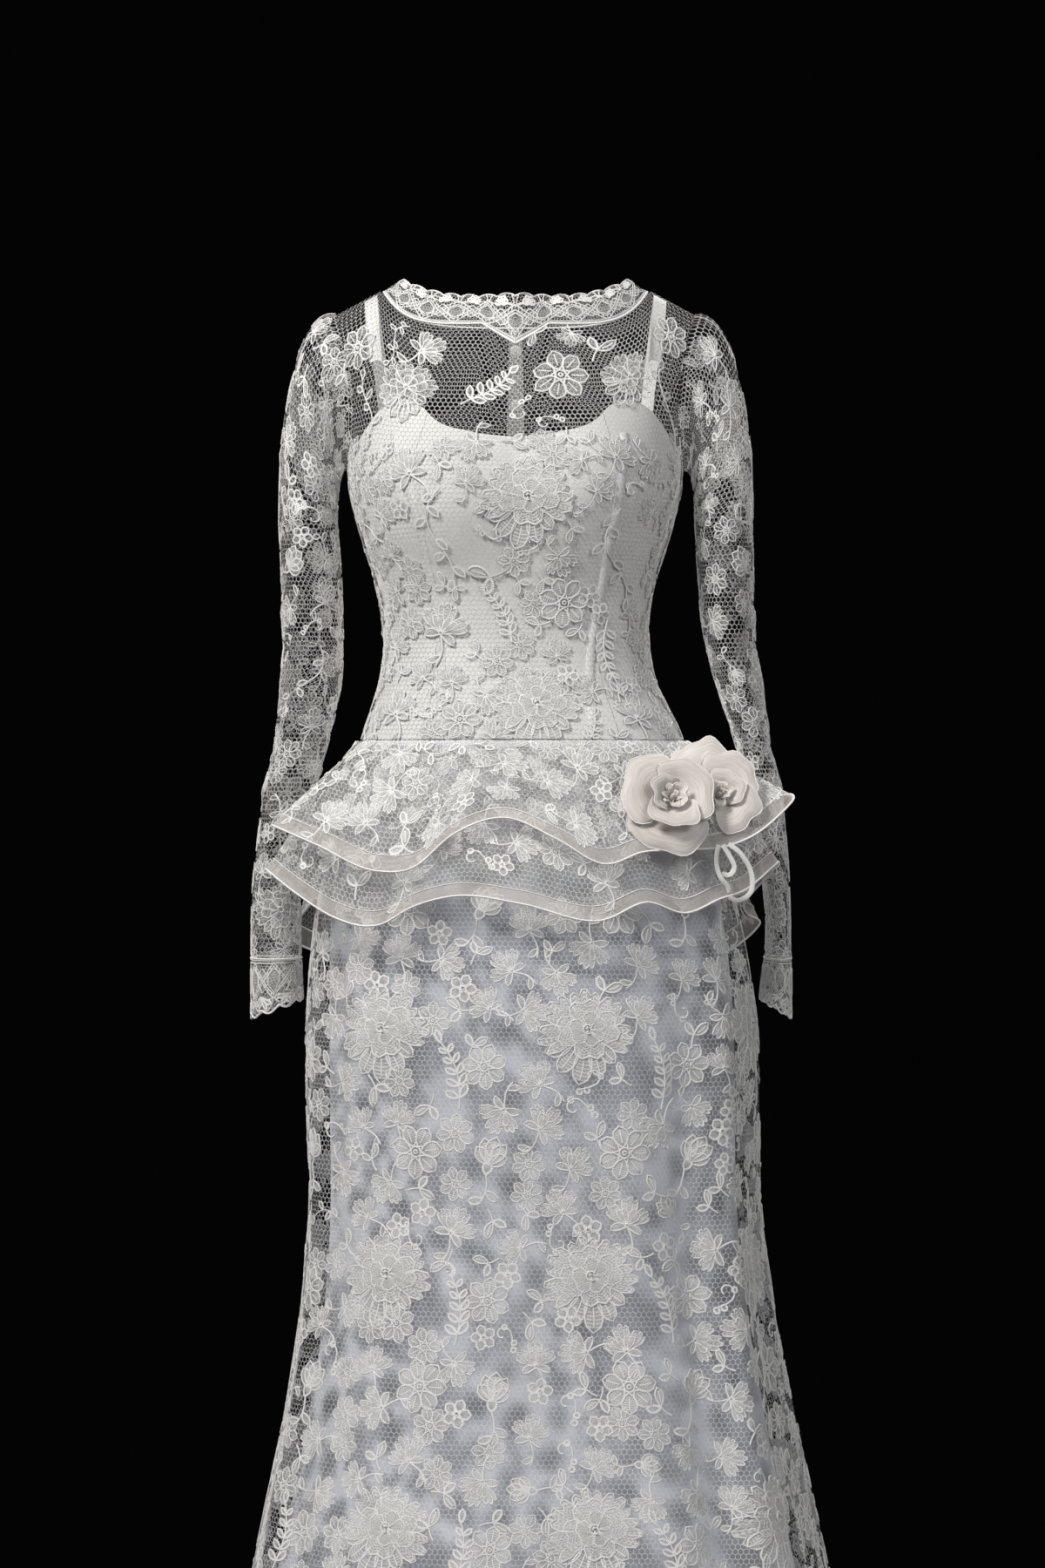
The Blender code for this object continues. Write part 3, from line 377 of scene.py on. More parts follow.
def oval(angle):
    """Unit oval section, a little squarer than an ellipse: sideways and forward parts."""
    across = np.sin(angle) * (1 + SQUARE * np.cos(angle) ** 2)
    forward = np.cos(angle) * (1 + SQUARE * np.sin(angle) ** 2)
    return across, forward


def bust(x, z):
    """Soft fullness of the two cups."""
    beside = np.exp(-((np.abs(x) - BUST_X) / BUST_SPREAD_X) ** 2 / 2)
    along = np.exp(-((z - BUST_Z) / BUST_SPREAD_Z) ** 2 / 2)
    return BUST_RISE * beside * along


def torso_point(angle, z, grow=0.0):
    """Point on the figure below the armpit line, grown outwards by the ease of a layer."""
    across, forward = oval(angle)
    depth = np.where(forward >= 0, smooth(z, BODY["z"], BODY["front"]), smooth(z, BODY["z"], BODY["back"]))
    x = smooth(z, BODY["z"], BODY["centre"]) + (smooth(z, BODY["z"], BODY["half"]) + grow) * across
    y = -(depth + grow) * forward - bust(x, z) * np.clip(forward, 0, 1)
    return np.stack([x, y, z + 0 * x], axis=-1)


def top_edge(x, side):
    """Depth and height where the yoke ends: the neckline inside, the shoulder seam outside."""
    away = np.abs(x)
    inside = np.clip(away / NECK_X, 0, 1)
    low = FRONT_NECK_Z if side > 0 else BACK_NECK_Z
    depth = FRONT_NECK_DEPTH if side > 0 else BACK_NECK_DEPTH
    neck_z = low + (NECK_Z - low) * inside ** NECK_CURVE
    ridge_z = NECK_Z + (TIP_Z - NECK_Z) * (away - NECK_X) / (TIP_X - NECK_X)
    ridge_y = RIDGE_Y - side * RIDGE_GAP
    y = ridge_y - side * depth * np.sqrt(1 - inside ** 2)
    return y, np.where(away < NECK_X, neck_z, ridge_z)


def yoke_point(angle, share, side):
    """Point between the armpit line (share 0) and the neckline or shoulder seam (share 1)."""
    share = np.clip(share, 0, 1)
    across, forward = oval(angle)
    if side > 0:
        notch = NOTCH_DEPTH * np.clip(1 - TIP_X * np.abs(angle) / (math.pi / 2) / NOTCH_HALF, 0, 1)
        share = share * (1 - notch / (FRONT_NECK_Z - ARMPIT_Z))
    behind = np.abs(angle) > math.pi / 2 + SIDE_SWITCH * side
    flat = np.where(behind, np.sign(angle) * math.pi - angle, angle)
    flat = flat / (math.pi / 2)
    x = smooth(share, ARMHOLE["share"], ARMHOLE["half"]) * (across * (1 - share) + flat * share)
    top_y, top_z = top_edge(x, side)
    z = ARMPIT_Z + (top_z - ARMPIT_Z) * share
    arm = (ARMHOLE_FRONT if side > 0 else ARMHOLE_BACK) * (1 - (1 - share) ** ARMHOLE_CURVE)
    chest = BODY["front"][0] if side > 0 else BODY["back"][0]
    low_y = -side * (arm + (chest - arm) * forward * side)
    rounding = 1 + SHOULDER_ROUND * np.clip(np.abs(x) / NECK_X, 0, 1) ** 4
    fall = np.clip(1 - share ** 2, 0, 1) ** (1 / rounding)
    y = top_y + (low_y - top_y) * fall
    if side > 0:
        y = y - bust(x, z) * np.clip(forward, 0, 1) * (1 - share ** 4)
    return np.stack([x, y, z], axis=-1)


def bodice_point(angle, line, side):
    """Point on the bodice: a line at or below 0 is metres under the armpit, above it a yoke share."""
    torso = torso_point(angle, ARMPIT_Z + np.minimum(line, 0))
    yoke = yoke_point(angle, np.maximum(line, 0), side)
    return np.where((line <= 0)[..., None], torso, yoke)


def fold_push(angle, z):
    """Push of all hanging folds at one place of the lace skirt."""
    push = np.zeros(np.broadcast(angle, z).shape)
    for middle, spread, deep, start in zip(FOLDS["angle"], FOLDS["spread"], FOLDS["push"], FOLDS["start"]):
        turn = (np.degrees(angle) - middle + 180) % 360 - 180
        grown = np.clip((start - z) / (start - LACE_HEM_Z), 0, 1) ** FOLD_GROWTH
        push = push + deep * grown * np.exp(-(turn / spread) ** 2 / 2)
    return push


def lace_skirt_point(angle, z):
    """Point of the lace skirt's inner form."""
    return torso_point(angle, z, smooth(z, EASE["z"], EASE["ease"]) + fold_push(angle, z))


def lining_skirt_point(angle, z):
    """Point of the slip skirt's inner form."""
    return torso_point(angle, z)


def tier_point(angle, share, tier):
    """Point of a peplum tier's inner face, from its seam (share 0) to its hem (share 1)."""
    table = TIERS[tier]
    degrees = np.degrees(angle)
    out = smooth(degrees, table["angle"], table["out"])
    drop = smooth(degrees, table["angle"], table["drop"])
    grow = TIER_LAYERS[tier] + out * np.maximum(share, 0) ** TIER_CURVE
    seam = torso_point(angle, TIER_TOP_Z + 0 * angle, grow)
    seam[..., 2] -= drop * share
    return seam


def with_normals(surface, across, along):
    """Points of a surface function and its unit normals pointing away from the body."""
    step = NORMAL_STEP
    points = surface(across, along)
    sideways = surface(across + step, along) - surface(across - step, along)
    upwards = surface(across, along + step) - surface(across, along - step)
    normals = np.cross(sideways, upwards)
    normals /= np.linalg.norm(normals, axis=-1, keepdims=True)
    return points, normals


def grid_normals(points, closed):
    """Unit normals of a grid of points, by the neighbours in each direction."""
    if closed:
        around = np.roll(points, -1, axis=1) - np.roll(points, 1, axis=1)
    else:
        around = np.gradient(points, axis=1)
    normals = np.cross(around, np.gradient(points, axis=0))
    return normals / np.linalg.norm(normals, axis=-1, keepdims=True)


def bodice_surface(side):
    """Surface function of the front (side 1) or back (side -1) of the bodice."""
    return lambda angle, line: bodice_point(angle, line, side)


def slip_share(angles, side):
    """Yoke share where the slip ends at each angle."""
    across, _ = oval(angles)
    x = smooth(SLIP_EDGE_SHARE, ARMHOLE["share"], ARMHOLE["half"]) * np.abs(across)
    edge = smooth(x, SLIP["x"], SLIP["front" if side > 0 else "back"])
    _, top_z = top_edge(x, side)
    return (edge - ARMPIT_Z) / (top_z - ARMPIT_Z)


def strap_edges(share):
    """Sideways places of a strap's two edges at one share of the yoke."""
    middle = STRAP_LOW_X + (STRAP_TOP_X - STRAP_LOW_X) * share
    return np.array([middle - STRAP_WIDTH / 2, middle + STRAP_WIDTH / 2])


def armhole_ring(sign, shares):
    """Points round an armhole just outside the bodice, from the underarm up the front and down the back."""
    ring = []
    for side in (1, -1):
        angle = sign * (math.pi / 2 - side * SEAM_ANGLE)
        points, normals = with_normals(bodice_surface(side), np.full(len(shares), angle), shares)
        points = points + normals * (LACE_LAYER + CLOTH + SEAM_GAP)
        ring.append(points)
    front, back = ring
    underarm = (front[0] + back[0]) / 2
    shoulder = (front[-1] + back[-1]) / 2
    order = [underarm] + list(front[1:-1]) + [shoulder] + list(back[-2:0:-1])
    return np.array(order)


def sleeve_ring(side, z, steps):
    """Oval section of a sleeve, in the armhole ring's order."""
    table = SLEEVES[side]
    sign = 1 if side == "left" else -1
    turn = np.arange(steps) * 2 * math.pi / steps
    read = {name: smooth(z, table["z"], table[name]) for name in SLEEVE_COLUMNS[1:]}
    x = sign * (read["x"] - read["half_x"] * np.cos(turn))
    y = read["y"] - read["half_y"] * np.sin(turn)
    return np.stack([x, y, z + 0 * x], axis=-1)


def rose_frame(place):
    """Matrix that stands a rose on the upper tier, with its axis along +Z of its own space."""
    angle = np.array([math.radians(place["angle"])])
    share = np.array([place["share"]])
    points, normals = with_normals(lambda a, s: tier_point(a, s, "upper"), angle, share)
    normal = Vector(-normals[0])
    axis = (normal + Vector((0, -1, 0)) * place["face"]).normalized()
    foot = Vector(points[0]) + normal * CLOTH + axis * place["stand"]
    return Matrix.Translation(foot) @ axis.to_track_quat("Z", "Y").to_matrix().to_4x4(), axis.dot(normal)


def ribbon_line(index, knot_x, knot_z):
    """Middle line of a ribbon loop in its upright plane, and half its width across that line."""
    steps = np.array(RIBBON_LOOPS[index])
    places = np.linspace(0, 1, len(steps))
    at = np.linspace(0, 1, RIBBON_STEPS + 1)
    x = knot_x + smooth(at, places, steps[:, 0])
    z = knot_z + smooth(at, places, steps[:, 1])
    line = np.stack([x, 0 * x, z], axis=-1)
    side = np.cross(np.gradient(line, axis=0), [0, 1, 0])
    return line, side * RIBBON_WIDTH / 2 / np.linalg.norm(side, axis=-1, keepdims=True)


# Layers of the visible cloth, outwards from the solids' inner form
SLIP_AT = 0.0004
LACE_AT = 0.0021
FILL_RISE = 0.00025
CORD_RISE = 0.00035
ROUND_RISE = 0.00030

# How much wider and higher a cord is than the thread that it is drawn with
CORD_SPREAD = 1.55
CORD_HEIGHT = 1.30

# Flat size of each repeat of the lace, across and along
REPEAT_ACROSS = 0.190
REPEAT_ALONG = 0.218

# Creases: across and along places of both ends on the cloth, half width, height out (+) or in (-)
CREASE_COLUMNS = ("u0", "v0", "u1", "v1", "wide", "high")
SLEEVE_CREASES = (
    (-0.060, 0.175, 0.020, 0.150, 0.007, 0.0022),
    (-0.050, 0.205, 0.055, 0.188, 0.006, -0.0016),
    (-0.070, 0.235, -0.005, 0.222, 0.008, 0.0024),
    (0.000, 0.262, 0.070, 0.240, 0.006, 0.0018),
    (-0.055, 0.290, 0.015, 0.300, 0.007, -0.0018),
    (-0.020, 0.325, 0.060, 0.338, 0.007, 0.0020),
    (0.010, 0.420, 0.062, 0.408, 0.006, 0.0016),
    (-0.062, 0.445, -0.004, 0.462, 0.007, 0.0018),
    (-0.030, 0.520, 0.035, 0.505, 0.006, -0.0014),
    (0.020, 0.560, -0.030, 0.610, 0.008, 0.0016),
)
BODICE_CREASES = (
    (-0.150, 0.255, -0.085, 0.215, 0.007, 0.0016),
    (0.148, 0.250, 0.092, 0.222, 0.006, 0.0014),
    (-0.140, 0.200, -0.070, 0.175, 0.008, 0.0012),
    (0.135, 0.190, 0.060, 0.172, 0.007, 0.0013),
    (-0.110, 0.110, -0.030, 0.100, 0.006, 0.0011),
    (0.105, 0.125, 0.020, 0.108, 0.006, 0.0012),
    (-0.085, 0.075, 0.020, 0.068, 0.005, 0.0010),
    (0.100, 0.060, 0.015, 0.052, 0.006, 0.0011),
)
SKIRT_CREASES = (
    (-0.165, 0.990, -0.190, 0.420, 0.010, 0.0050),
    (-0.120, 0.940, -0.135, 0.260, 0.013, -0.0038),
    (-0.060, 0.700, -0.085, 0.020, 0.016, 0.0042),
    (0.010, 0.560, 0.020, 0.010, 0.018, -0.0036),
    (0.075, 0.860, 0.100, 0.120, 0.014, 0.0036),
    (0.175, 0.900, 0.215, 0.050, 0.013, 0.0050),
    (-0.200, 0.560, -0.250, 0.010, 0.014, 0.0046),
    (0.240, 0.640, 0.290, 0.020, 0.012, -0.0040),
)
SLIP_CREASES = (
    (-0.110, 0.920, -0.140, 0.100, 0.016, 0.0020),
    (0.030, 0.600, 0.050, 0.020, 0.020, 0.0022),
    (0.120, 0.860, 0.160, 0.080, 0.014, -0.0020),
)

# Boning channels on the slip bodice: sideways place and height of their points
CHANNELS = (
    ((-0.112, -0.126), (-0.090, -0.175), (-0.0754, -0.221), (-0.067, -0.353), (-0.071, -0.408)),
    ((0.101, -0.130), (0.092, -0.200), (0.080, -0.246), (0.068, -0.330), (0.072, -0.408)),
)
LADDER_HALF = 0.0018
CHANNEL_WIDTH = 0.009
CHANNEL_RISE = 0.0011

# Large motifs, listed one by one: name, sideways place and height on the front, turn, size
MOTIF_COLUMNS = ("kind", "x", "z", "turn", "size")
YOKE_MOTIFS = (
    ("rose", -0.100, -0.088, 20, 0.70),
    ("half", -0.082, -0.052, -60, 0.86),
    ("daisy", 0.041, -0.079, 10, 1.08),
    ("spray", -0.028, -0.088, -38, 1.05),
    ("rose", 0.104, -0.078, -30, 0.66),
    ("daisy", 0.146, -0.034, 0, 0.78),
    ("vine", -0.108, -0.040, 150, 0.62),
    ("daisy", -0.146, -0.046, 25, 0.80),
    ("vine", -0.136, -0.112, 8, 0.80),
    ("leaf", 0.020, -0.040, 200, 1.20),
    ("half", 0.052, -0.038, 170, 0.60),
    ("leaf", 0.078, -0.050, -40, 1.25),
    ("curl", 0.004, -0.112, 90, 0.90),
    ("curl", 0.028, -0.120, 30, 0.80),
    ("vine", 0.140, -0.110, -12, 0.85),
)
BODICE_MOTIFS = (
    ("rose", 0.010, -0.190, 0, 1.0),
    ("daisy", 0.043, -0.283, 20, 0.95),
    ("rose", 0.020, -0.378, 10, 0.95),
    ("half", -0.066, -0.306, -20, 0.95),
    ("vine", -0.068, -0.222, 172, 1.0),
    ("half", -0.100, -0.166, 30, 0.90),
    ("half", 0.092, -0.150, -40, 0.85),
    ("vine", 0.094, -0.240, 190, 1.05),
    ("spray", 0.086, -0.330, 188, 0.95),
    ("half", -0.110, -0.384, 10, 0.85),
    ("daisy", -0.052, -0.392, 10, 0.80),
    ("half", 0.112, -0.386, -10, 0.85),
    ("leaf", -0.030, -0.262, 100, 1.30),
    ("spray", -0.014, -0.300, 30, 0.80),
    ("daisy", -0.018, -0.340, 0, 0.62),
    ("half", -0.040, -0.142, 160, 0.75),
)
FILLERS = ("half", "vine", "daisy", "bud", "spray", "vine", "leaf", "curl", "small", "leaf", "curl", "leaf")
FILL_SIZES = {
    "half": 0.78, "vine": 0.80, "daisy": 0.68, "bud": 0.80,
    "spray": 0.85, "small": 0.9, "curl": 0.9, "leaf": 1.0,
}

# Scattered motifs: tries for each kind in one repeat, and the share of its radius that one keeps clear.
# A petal shorter than SMALL_PETAL has a flat outline.
FILL_TRIES = 42
NEAR_SHARE = 0.62
SMALL_PETAL = 0.0150
SEED = 7

# Height shares up to which small motifs are laid on the bodice's back and front and on the skirt
BACK_YOKE_SHARE = 0.60
FRONT_YOKE_SHARE = 0.68
SKIRT_COVER = 0.86

# Round cords and rolls: radii, and how far they stand off the cloth
HEM_CORD_RADIUS = 0.0011
EDGE_RADIUS = 0.0010
CUFF_CORD_RADIUS = 0.0009
RIM_RADIUS = 0.0005
RIM_SIDES = 4
JOIN_LIFT = 0.0004
SEAM_CORD_LIFT = 0.0006

# Spacing of the worked diamonds of the edgings
CUFF_LATTICE_CELL = 0.024
NECK_LATTICE_CELL = 0.030

# Net: width across one six-sided cell and the share of it that is thread
NET_CELL = 0.0050
NET_THREAD = 0.036

# Camera and light
CAMERA_X = 0.0066
CAMERA_Z = -0.451
CAMERA_Y = -3.2
FRAME_HEIGHT = 1.476
FLOOR_Z = LACE_HEM_Z - 0.006
FLOOR_RADIUS = 0.95
FLOOR_SIDES = 96
SURROUND = (0.0012, 0.0012, 0.0014, 1)

# Lamps: name, place, size, power in watts, colour
LAMPS = (
    ("key", (-1.6, -1.8, 1.7), 0.9, 110, (1.0, 0.985, 0.96)),
    ("fill", (1.7, -2.2, 0.9), 1.5, 34, (0.98, 0.985, 1.0)),
    ("low", (-0.5, -2.6, -0.7), 1.2, 3, (0.80, 0.88, 1.0)),
    ("back", (0.9, 2.3, 1.2), 1.4, 62, (1.0, 1.0, 1.0)),
    ("back_low", (-1.4, 2.2, -0.3), 1.4, 22, (0.96, 0.98, 1.0)),
)


def measure(points):
    """Across and along places of a grid of points, in metres on the cloth, 0 at the middle column."""
    rows, cols = points.shape[:2]
    steps = np.linalg.norm(np.diff(points, axis=1), axis=-1)
    across = np.concatenate([np.zeros((rows, 1)), np.cumsum(steps, axis=1)], axis=1)
    across -= across[:, cols // 2][:, None]
    falls = np.linalg.norm(np.diff(points, axis=0), axis=-1).mean(axis=1)
    return across, np.concatenate([[0], np.cumsum(falls)])


class Cloth:
    """Dense grid of points of one piece of cloth, first row at its foot, with outward normals."""

    def __init__(self, points, sign=1, closed=False):
        self.points = points
        self.sign = sign
        self.closed = closed
        self.refresh()

    def refresh(self):
        """Measure the cloth again after its points moved."""
        self.u, self.v = measure(self.points)
        if self.closed:
            ring = self.points[:, :-1]
            normals = grid_normals(ring, True)
            self.normals = np.concatenate([normals, normals[:, :1]], axis=1) * self.sign
        else:
            self.normals = grid_normals(self.points, False) * self.sign

    def sample(self, r, c):
        """Points and normals at fractional rows and columns."""
        rows, cols = self.points.shape[:2]
        r0 = np.clip(r.astype(int), 0, rows - 2)
        c0 = np.clip(c.astype(int), 0, cols - 2)
        s = (r - r0)[:, None]
        t = (c - c0)[:, None]
        found = []
        for grid in (self.points, self.normals):
            low = grid[r0, c0] * (1 - t) + grid[r0, c0 + 1] * t
            high = grid[r0 + 1, c0] * (1 - t) + grid[r0 + 1, c0 + 1] * t
            found.append(low * (1 - s) + high * s)
        return found

    def locate(self, u, v):
        """Fractional row and column of a place on the cloth."""
        r = float(np.interp(v, self.v, np.arange(len(self.v))))
        row = self.u[int(round(r))]
        return r, float(np.interp(u, row, np.arange(len(row))))

    def near(self, x, z):
        """Across and along place of the point that shows at x and z from the front."""
        away = (self.points[..., 0] - x) ** 2 + (self.points[..., 2] - z) ** 2
        r, c = np.unravel_index(np.argmin(away), away.shape)
        return self.u[r, c], self.v[r]

    def crease(self, rows):
        """Push soft ridges and troughs along short lines on the cloth."""
        for values in rows:
            line = dict(zip(CREASE_COLUMNS, values))
            start = np.array([line["u0"], line["v0"]])
            end = np.array([line["u1"], line["v1"]])
            here = np.stack([self.u, self.v[:, None] + 0 * self.u], axis=-1)
            way = end - start
            share = np.clip(((here - start) @ way) / (way @ way), 0, 1)
            gap = np.linalg.norm(here - start - share[..., None] * way, axis=-1)
            fade = np.sin(math.pi * (0.12 + 0.76 * share))
            push = line["high"] * np.exp(-(gap / line["wide"]) ** 2) * fade
            self.points = self.points + self.normals * push[..., None]
        self.refresh()


def make_mesh(name, verts, faces, uvs, slots, materials):
    """Smooth mesh object from arrays of points, triangles or quads, UVs of points and material numbers."""
    mesh = bpy.data.meshes.new(name)
    sides = faces.shape[1]
    mesh.vertices.add(len(verts))
    mesh.vertices.foreach_set("co", np.ascontiguousarray(verts, dtype=np.float32).ravel())
    mesh.loops.add(faces.size)
    mesh.loops.foreach_set("vertex_index", faces.ravel().astype(np.int32))
    mesh.polygons.add(len(faces))
    mesh.polygons.foreach_set("loop_start", np.arange(0, faces.size, sides, dtype=np.int32))
    mesh.polygons.foreach_set("material_index", np.broadcast_to(slots, len(faces)).astype(np.int32))
    for material in materials:
        mesh.materials.append(material)
    layer = mesh.uv_layers.new(name="cloth")
    layer.data.foreach_set("uv", uvs[faces.ravel()].astype(np.float32).ravel())
    mesh.update(calc_edges=True)
    mesh.shade_smooth()
    piece = bpy.data.objects.new(name, mesh)
    bpy.context.scene.collection.objects.link(piece)
    return piece


def grid_faces(rows, cols):
    """Quads between neighbouring rows and columns."""
    index = np.arange(rows * cols).reshape(rows, cols)
    corners = [index[:-1, :-1], index[:-1, 1:], index[1:, 1:], index[1:, :-1]]
    return np.stack(corners, axis=-1).reshape(-1, 4)


def grid_triangles(rows, cols):
    """Triangles of a grid, all first halves before all second halves."""
    quads = grid_faces(rows, cols)
    return np.concatenate([quads[:, [0, 1, 2]], quads[:, [0, 2, 3]]])


def run_along(line):
    """Length along a line at each of its points."""
    return np.concatenate([[0], np.cumsum(np.linalg.norm(np.diff(line, axis=0), axis=1))])


def cord_sides(line, width):
    """Sideways steps from a flat line of points to the edges of a cord along it."""
    way = np.gradient(line, axis=0)
    side = np.stack([-way[:, 1], way[:, 0]], axis=-1)
    return side * (width * CORD_SPREAD / 2 / np.maximum(np.linalg.norm(side, axis=-1, keepdims=True), 1e-9))


def flat_uvs(cloth):
    """Places of a cloth's points laid flat, in metres."""
    return np.stack([cloth.u, cloth.v[:, None] + 0 * cloth.u], axis=-1).reshape(-1, 2)


def settle(piece, node):
    """Make a piece ride the dress, and stand for a solid where one is named."""
    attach(piece, "root")
    if node:
        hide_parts(node)
    return piece


def sheet_piece(name, cloth, materials, lift=0.0, slots=0):
    """Object of a cloth, lifted out along its normals."""
    rows, cols = cloth.points.shape[:2]
    verts = (cloth.points + cloth.normals * lift).reshape(-1, 3)
    uvs = flat_uvs(cloth)
    faces = grid_faces(rows, cols)
    if cloth.sign < 0:
        faces = faces[:, ::-1]
    return settle(make_mesh(f"{name}_cloth", verts, faces, uvs, slots, materials), name)


def declare(piece):
    """Return the piece unchanged.
    """
    return piece


class Pattern:
    """Flat drawing of a lace motif: filled shapes and raised cords."""

    def __init__(self):
        self.verts = []
        self.heights = []
        self.uvs = []
        self.faces = []
        self.slots = []

    def add(self, verts, heights, uvs, faces, slot):
        first = sum(len(v) for v in self.verts)
        self.verts.append(verts)
        self.heights.append(heights)
        self.uvs.append(uvs)
        self.faces.append(faces + first)
        self.slots.append(np.full(len(faces), slot))

    def join(self):
        """All parts as single arrays, with the drawing's radius."""
        flat = np.concatenate(self.verts)
        return {
            "flat": flat,
            "height": np.concatenate(self.heights),
            "uv": np.concatenate(self.uvs),
            "faces": np.concatenate(self.faces),
            "slots": np.concatenate(self.slots),
            "radius": np.linalg.norm(flat, axis=1).max(),
        }

    def cord(self, line, width, rise=0.0008, lift=CORD_RISE):
        """Raised cord along a flat line of points."""
        side = cord_sides(line, width)
        verts = np.stack([line - side, line, line + side], axis=1).reshape(-1, 2)
        heights = np.tile([lift, lift + rise * CORD_HEIGHT, lift], len(line))
        # Across the cord the UVs run 0 to 1; the cord material paints shade down both sides from them
        uvs = np.stack([np.tile([0, 0.5, 1], len(line)), np.repeat(run_along(line), 3)], axis=-1)
        self.add(verts, heights, uvs, grid_triangles(len(line), 3), 1)

    def vein(self, line, width, lift):
        """Flat thread along a line of points."""
        side = cord_sides(line, width)
        verts = np.stack([line - side, line + side], axis=1).reshape(-1, 2)
        uvs = np.stack([np.full(len(verts), 0.5), np.repeat(run_along(line), 2)], axis=-1)
        self.add(verts, np.full(len(verts), lift), uvs, grid_triangles(len(line), 2), 1)

    def petal(
        self, foot, angle, length, width, steps=5, power=0.7, bend=0.0, dome=0.0007, cord=0.0013, veins=0,
    ):
        """Rounded petal or leaf from its foot outwards, filled and outlined."""
        t = np.linspace(0, 1, steps + 1)
        turn = angle + bend * (t - 0.5)
        way = np.stack([np.cos(turn), np.sin(turn)], axis=-1)
        run = np.cumsum((way[1:] + way[:-1]) / 2, axis=0)
        spine = foot + np.concatenate([[[0, 0]], run]) * length / steps
        half = width / 2 * np.sin(math.pi * t ** 1.25) ** power * (1 - 0.12 * t)
        half[0] = half[-1] = 0
        side = np.stack([-way[:, 1], way[:, 0]], axis=-1) * half[:, None]
        verts = np.stack([spine - side, spine, spine + side], axis=1).reshape(-1, 2)
        arch = dome * np.sin(math.pi * t)
        heights = np.stack([0 * t, arch, 0 * t], axis=1).ravel() + FILL_RISE
        uvs = np.stack([np.tile([-1, 0, 1], len(t)), np.repeat(t, 3)], axis=-1)
        self.add(verts, heights, uvs, grid_triangles(steps + 1, 3), 0)
        outline = np.concatenate([(spine - side)[:-1], spine[-1:], (spine + side)[:-1][::-1]])
        if length < SMALL_PETAL:
            self.vein(outline, cord, CORD_RISE + 0.0006)
        else:
            self.cord(outline, cord)
        for vein in range(veins):
            lean = (vein - (veins - 1) / 2) * 0.5
            self.vein((spine + side * lean)[1:-1], cord * 0.55, FILL_RISE + dome)

    def fan(self, foot, angle, reach, spread, lobes=3, cord=0.0012, level=0, veins=2):
        """Broad petal of a blossom with a scalloped outer edge; level stacks the rounds of petals."""
        steps = 3 * lobes
        at = np.linspace(-1, 1, steps + 1)
        edge = reach * (1 - 0.16 * at ** 2 - 0.10 * np.cos(math.pi * lobes * (at + 1)) - 0.04)
        turn = angle + math.radians(spread) * at
        way = np.stack([np.cos(turn), np.sin(turn)], axis=-1)
        shares = np.array([0.10, 0.62, 1.0])
        verts = foot + (shares[:, None] * edge)[..., None] * way
        base = ROUND_RISE * level
        heights = np.array([0, 0.0010, 0])[:, None] + FILL_RISE + base + 0 * at
        uvs = np.stack([at + 0 * shares[:, None], shares[:, None] + 0 * at], axis=-1)
        self.add(verts.reshape(-1, 2), heights.ravel(), uvs.reshape(-1, 2), grid_triangles(3, steps + 1), 0)
        outline = np.concatenate([verts[:2, 0], verts[2], verts[1::-1, -1]])
        self.cord(outline, cord, lift=CORD_RISE + base)
        for vein in range(veins):
            column = int(round((vein + 1) * steps / (veins + 1)))
            self.vein(verts[1:, column], cord * 0.5, CORD_RISE + base + 0.0006)


def arc_line(centre, radius, start, end, steps):
    """Points on a round arc, angles in radians."""
    at = np.linspace(start, end, steps + 1)
    return np.array(centre) + radius * np.stack([np.cos(at), np.sin(at)], axis=-1)


def draw_rose():
    """Full open blossom: scalloped rounds of petals, a swirled heart and hanging drop petals."""
    motif = Pattern()
    for lean, size, width in (
        (-152, 0.026, 0.014), (-128, 0.030, 0.016), (-102, 0.034, 0.018),
        (-76, 0.028, 0.015), (-50, 0.023, 0.013),
    ):
        angle = math.radians(lean)
        foot = 0.015 * np.array([math.cos(angle), math.sin(angle)])
        motif.petal(foot, angle, size, width, steps=6, power=0.42, bend=0.3 * math.sin(lean), veins=1)
    for lean, reach, spread in (
        (-14, 0.043, 24), (34, 0.040, 27), (88, 0.038, 28), (140, 0.041, 27), (190, 0.044, 24),
    ):
        motif.fan(np.zeros(2), math.radians(lean), reach, spread, level=1, veins=1)
    for lean, reach, spread in ((8, 0.029, 42), (98, 0.028, 44), (180, 0.029, 42), (268, 0.027, 46)):
        motif.fan(np.array([0.002, 0.001]), math.radians(lean), reach, spread, lobes=2, level=2, veins=0)
    for lean, reach, spread in ((50, 0.017, 62), (190, 0.018, 60), (300, 0.016, 58)):
        motif.fan(np.array([0.002, 0.002]), math.radians(lean), reach, spread, lobes=2, level=3, veins=0)
    swirl = arc_line((0.001, 0.002), 0.0042, 0.3, 5.2, 9)
    motif.cord(swirl, 0.0013, rise=0.0013, lift=CORD_RISE + 3 * ROUND_RISE)
    return motif.join()


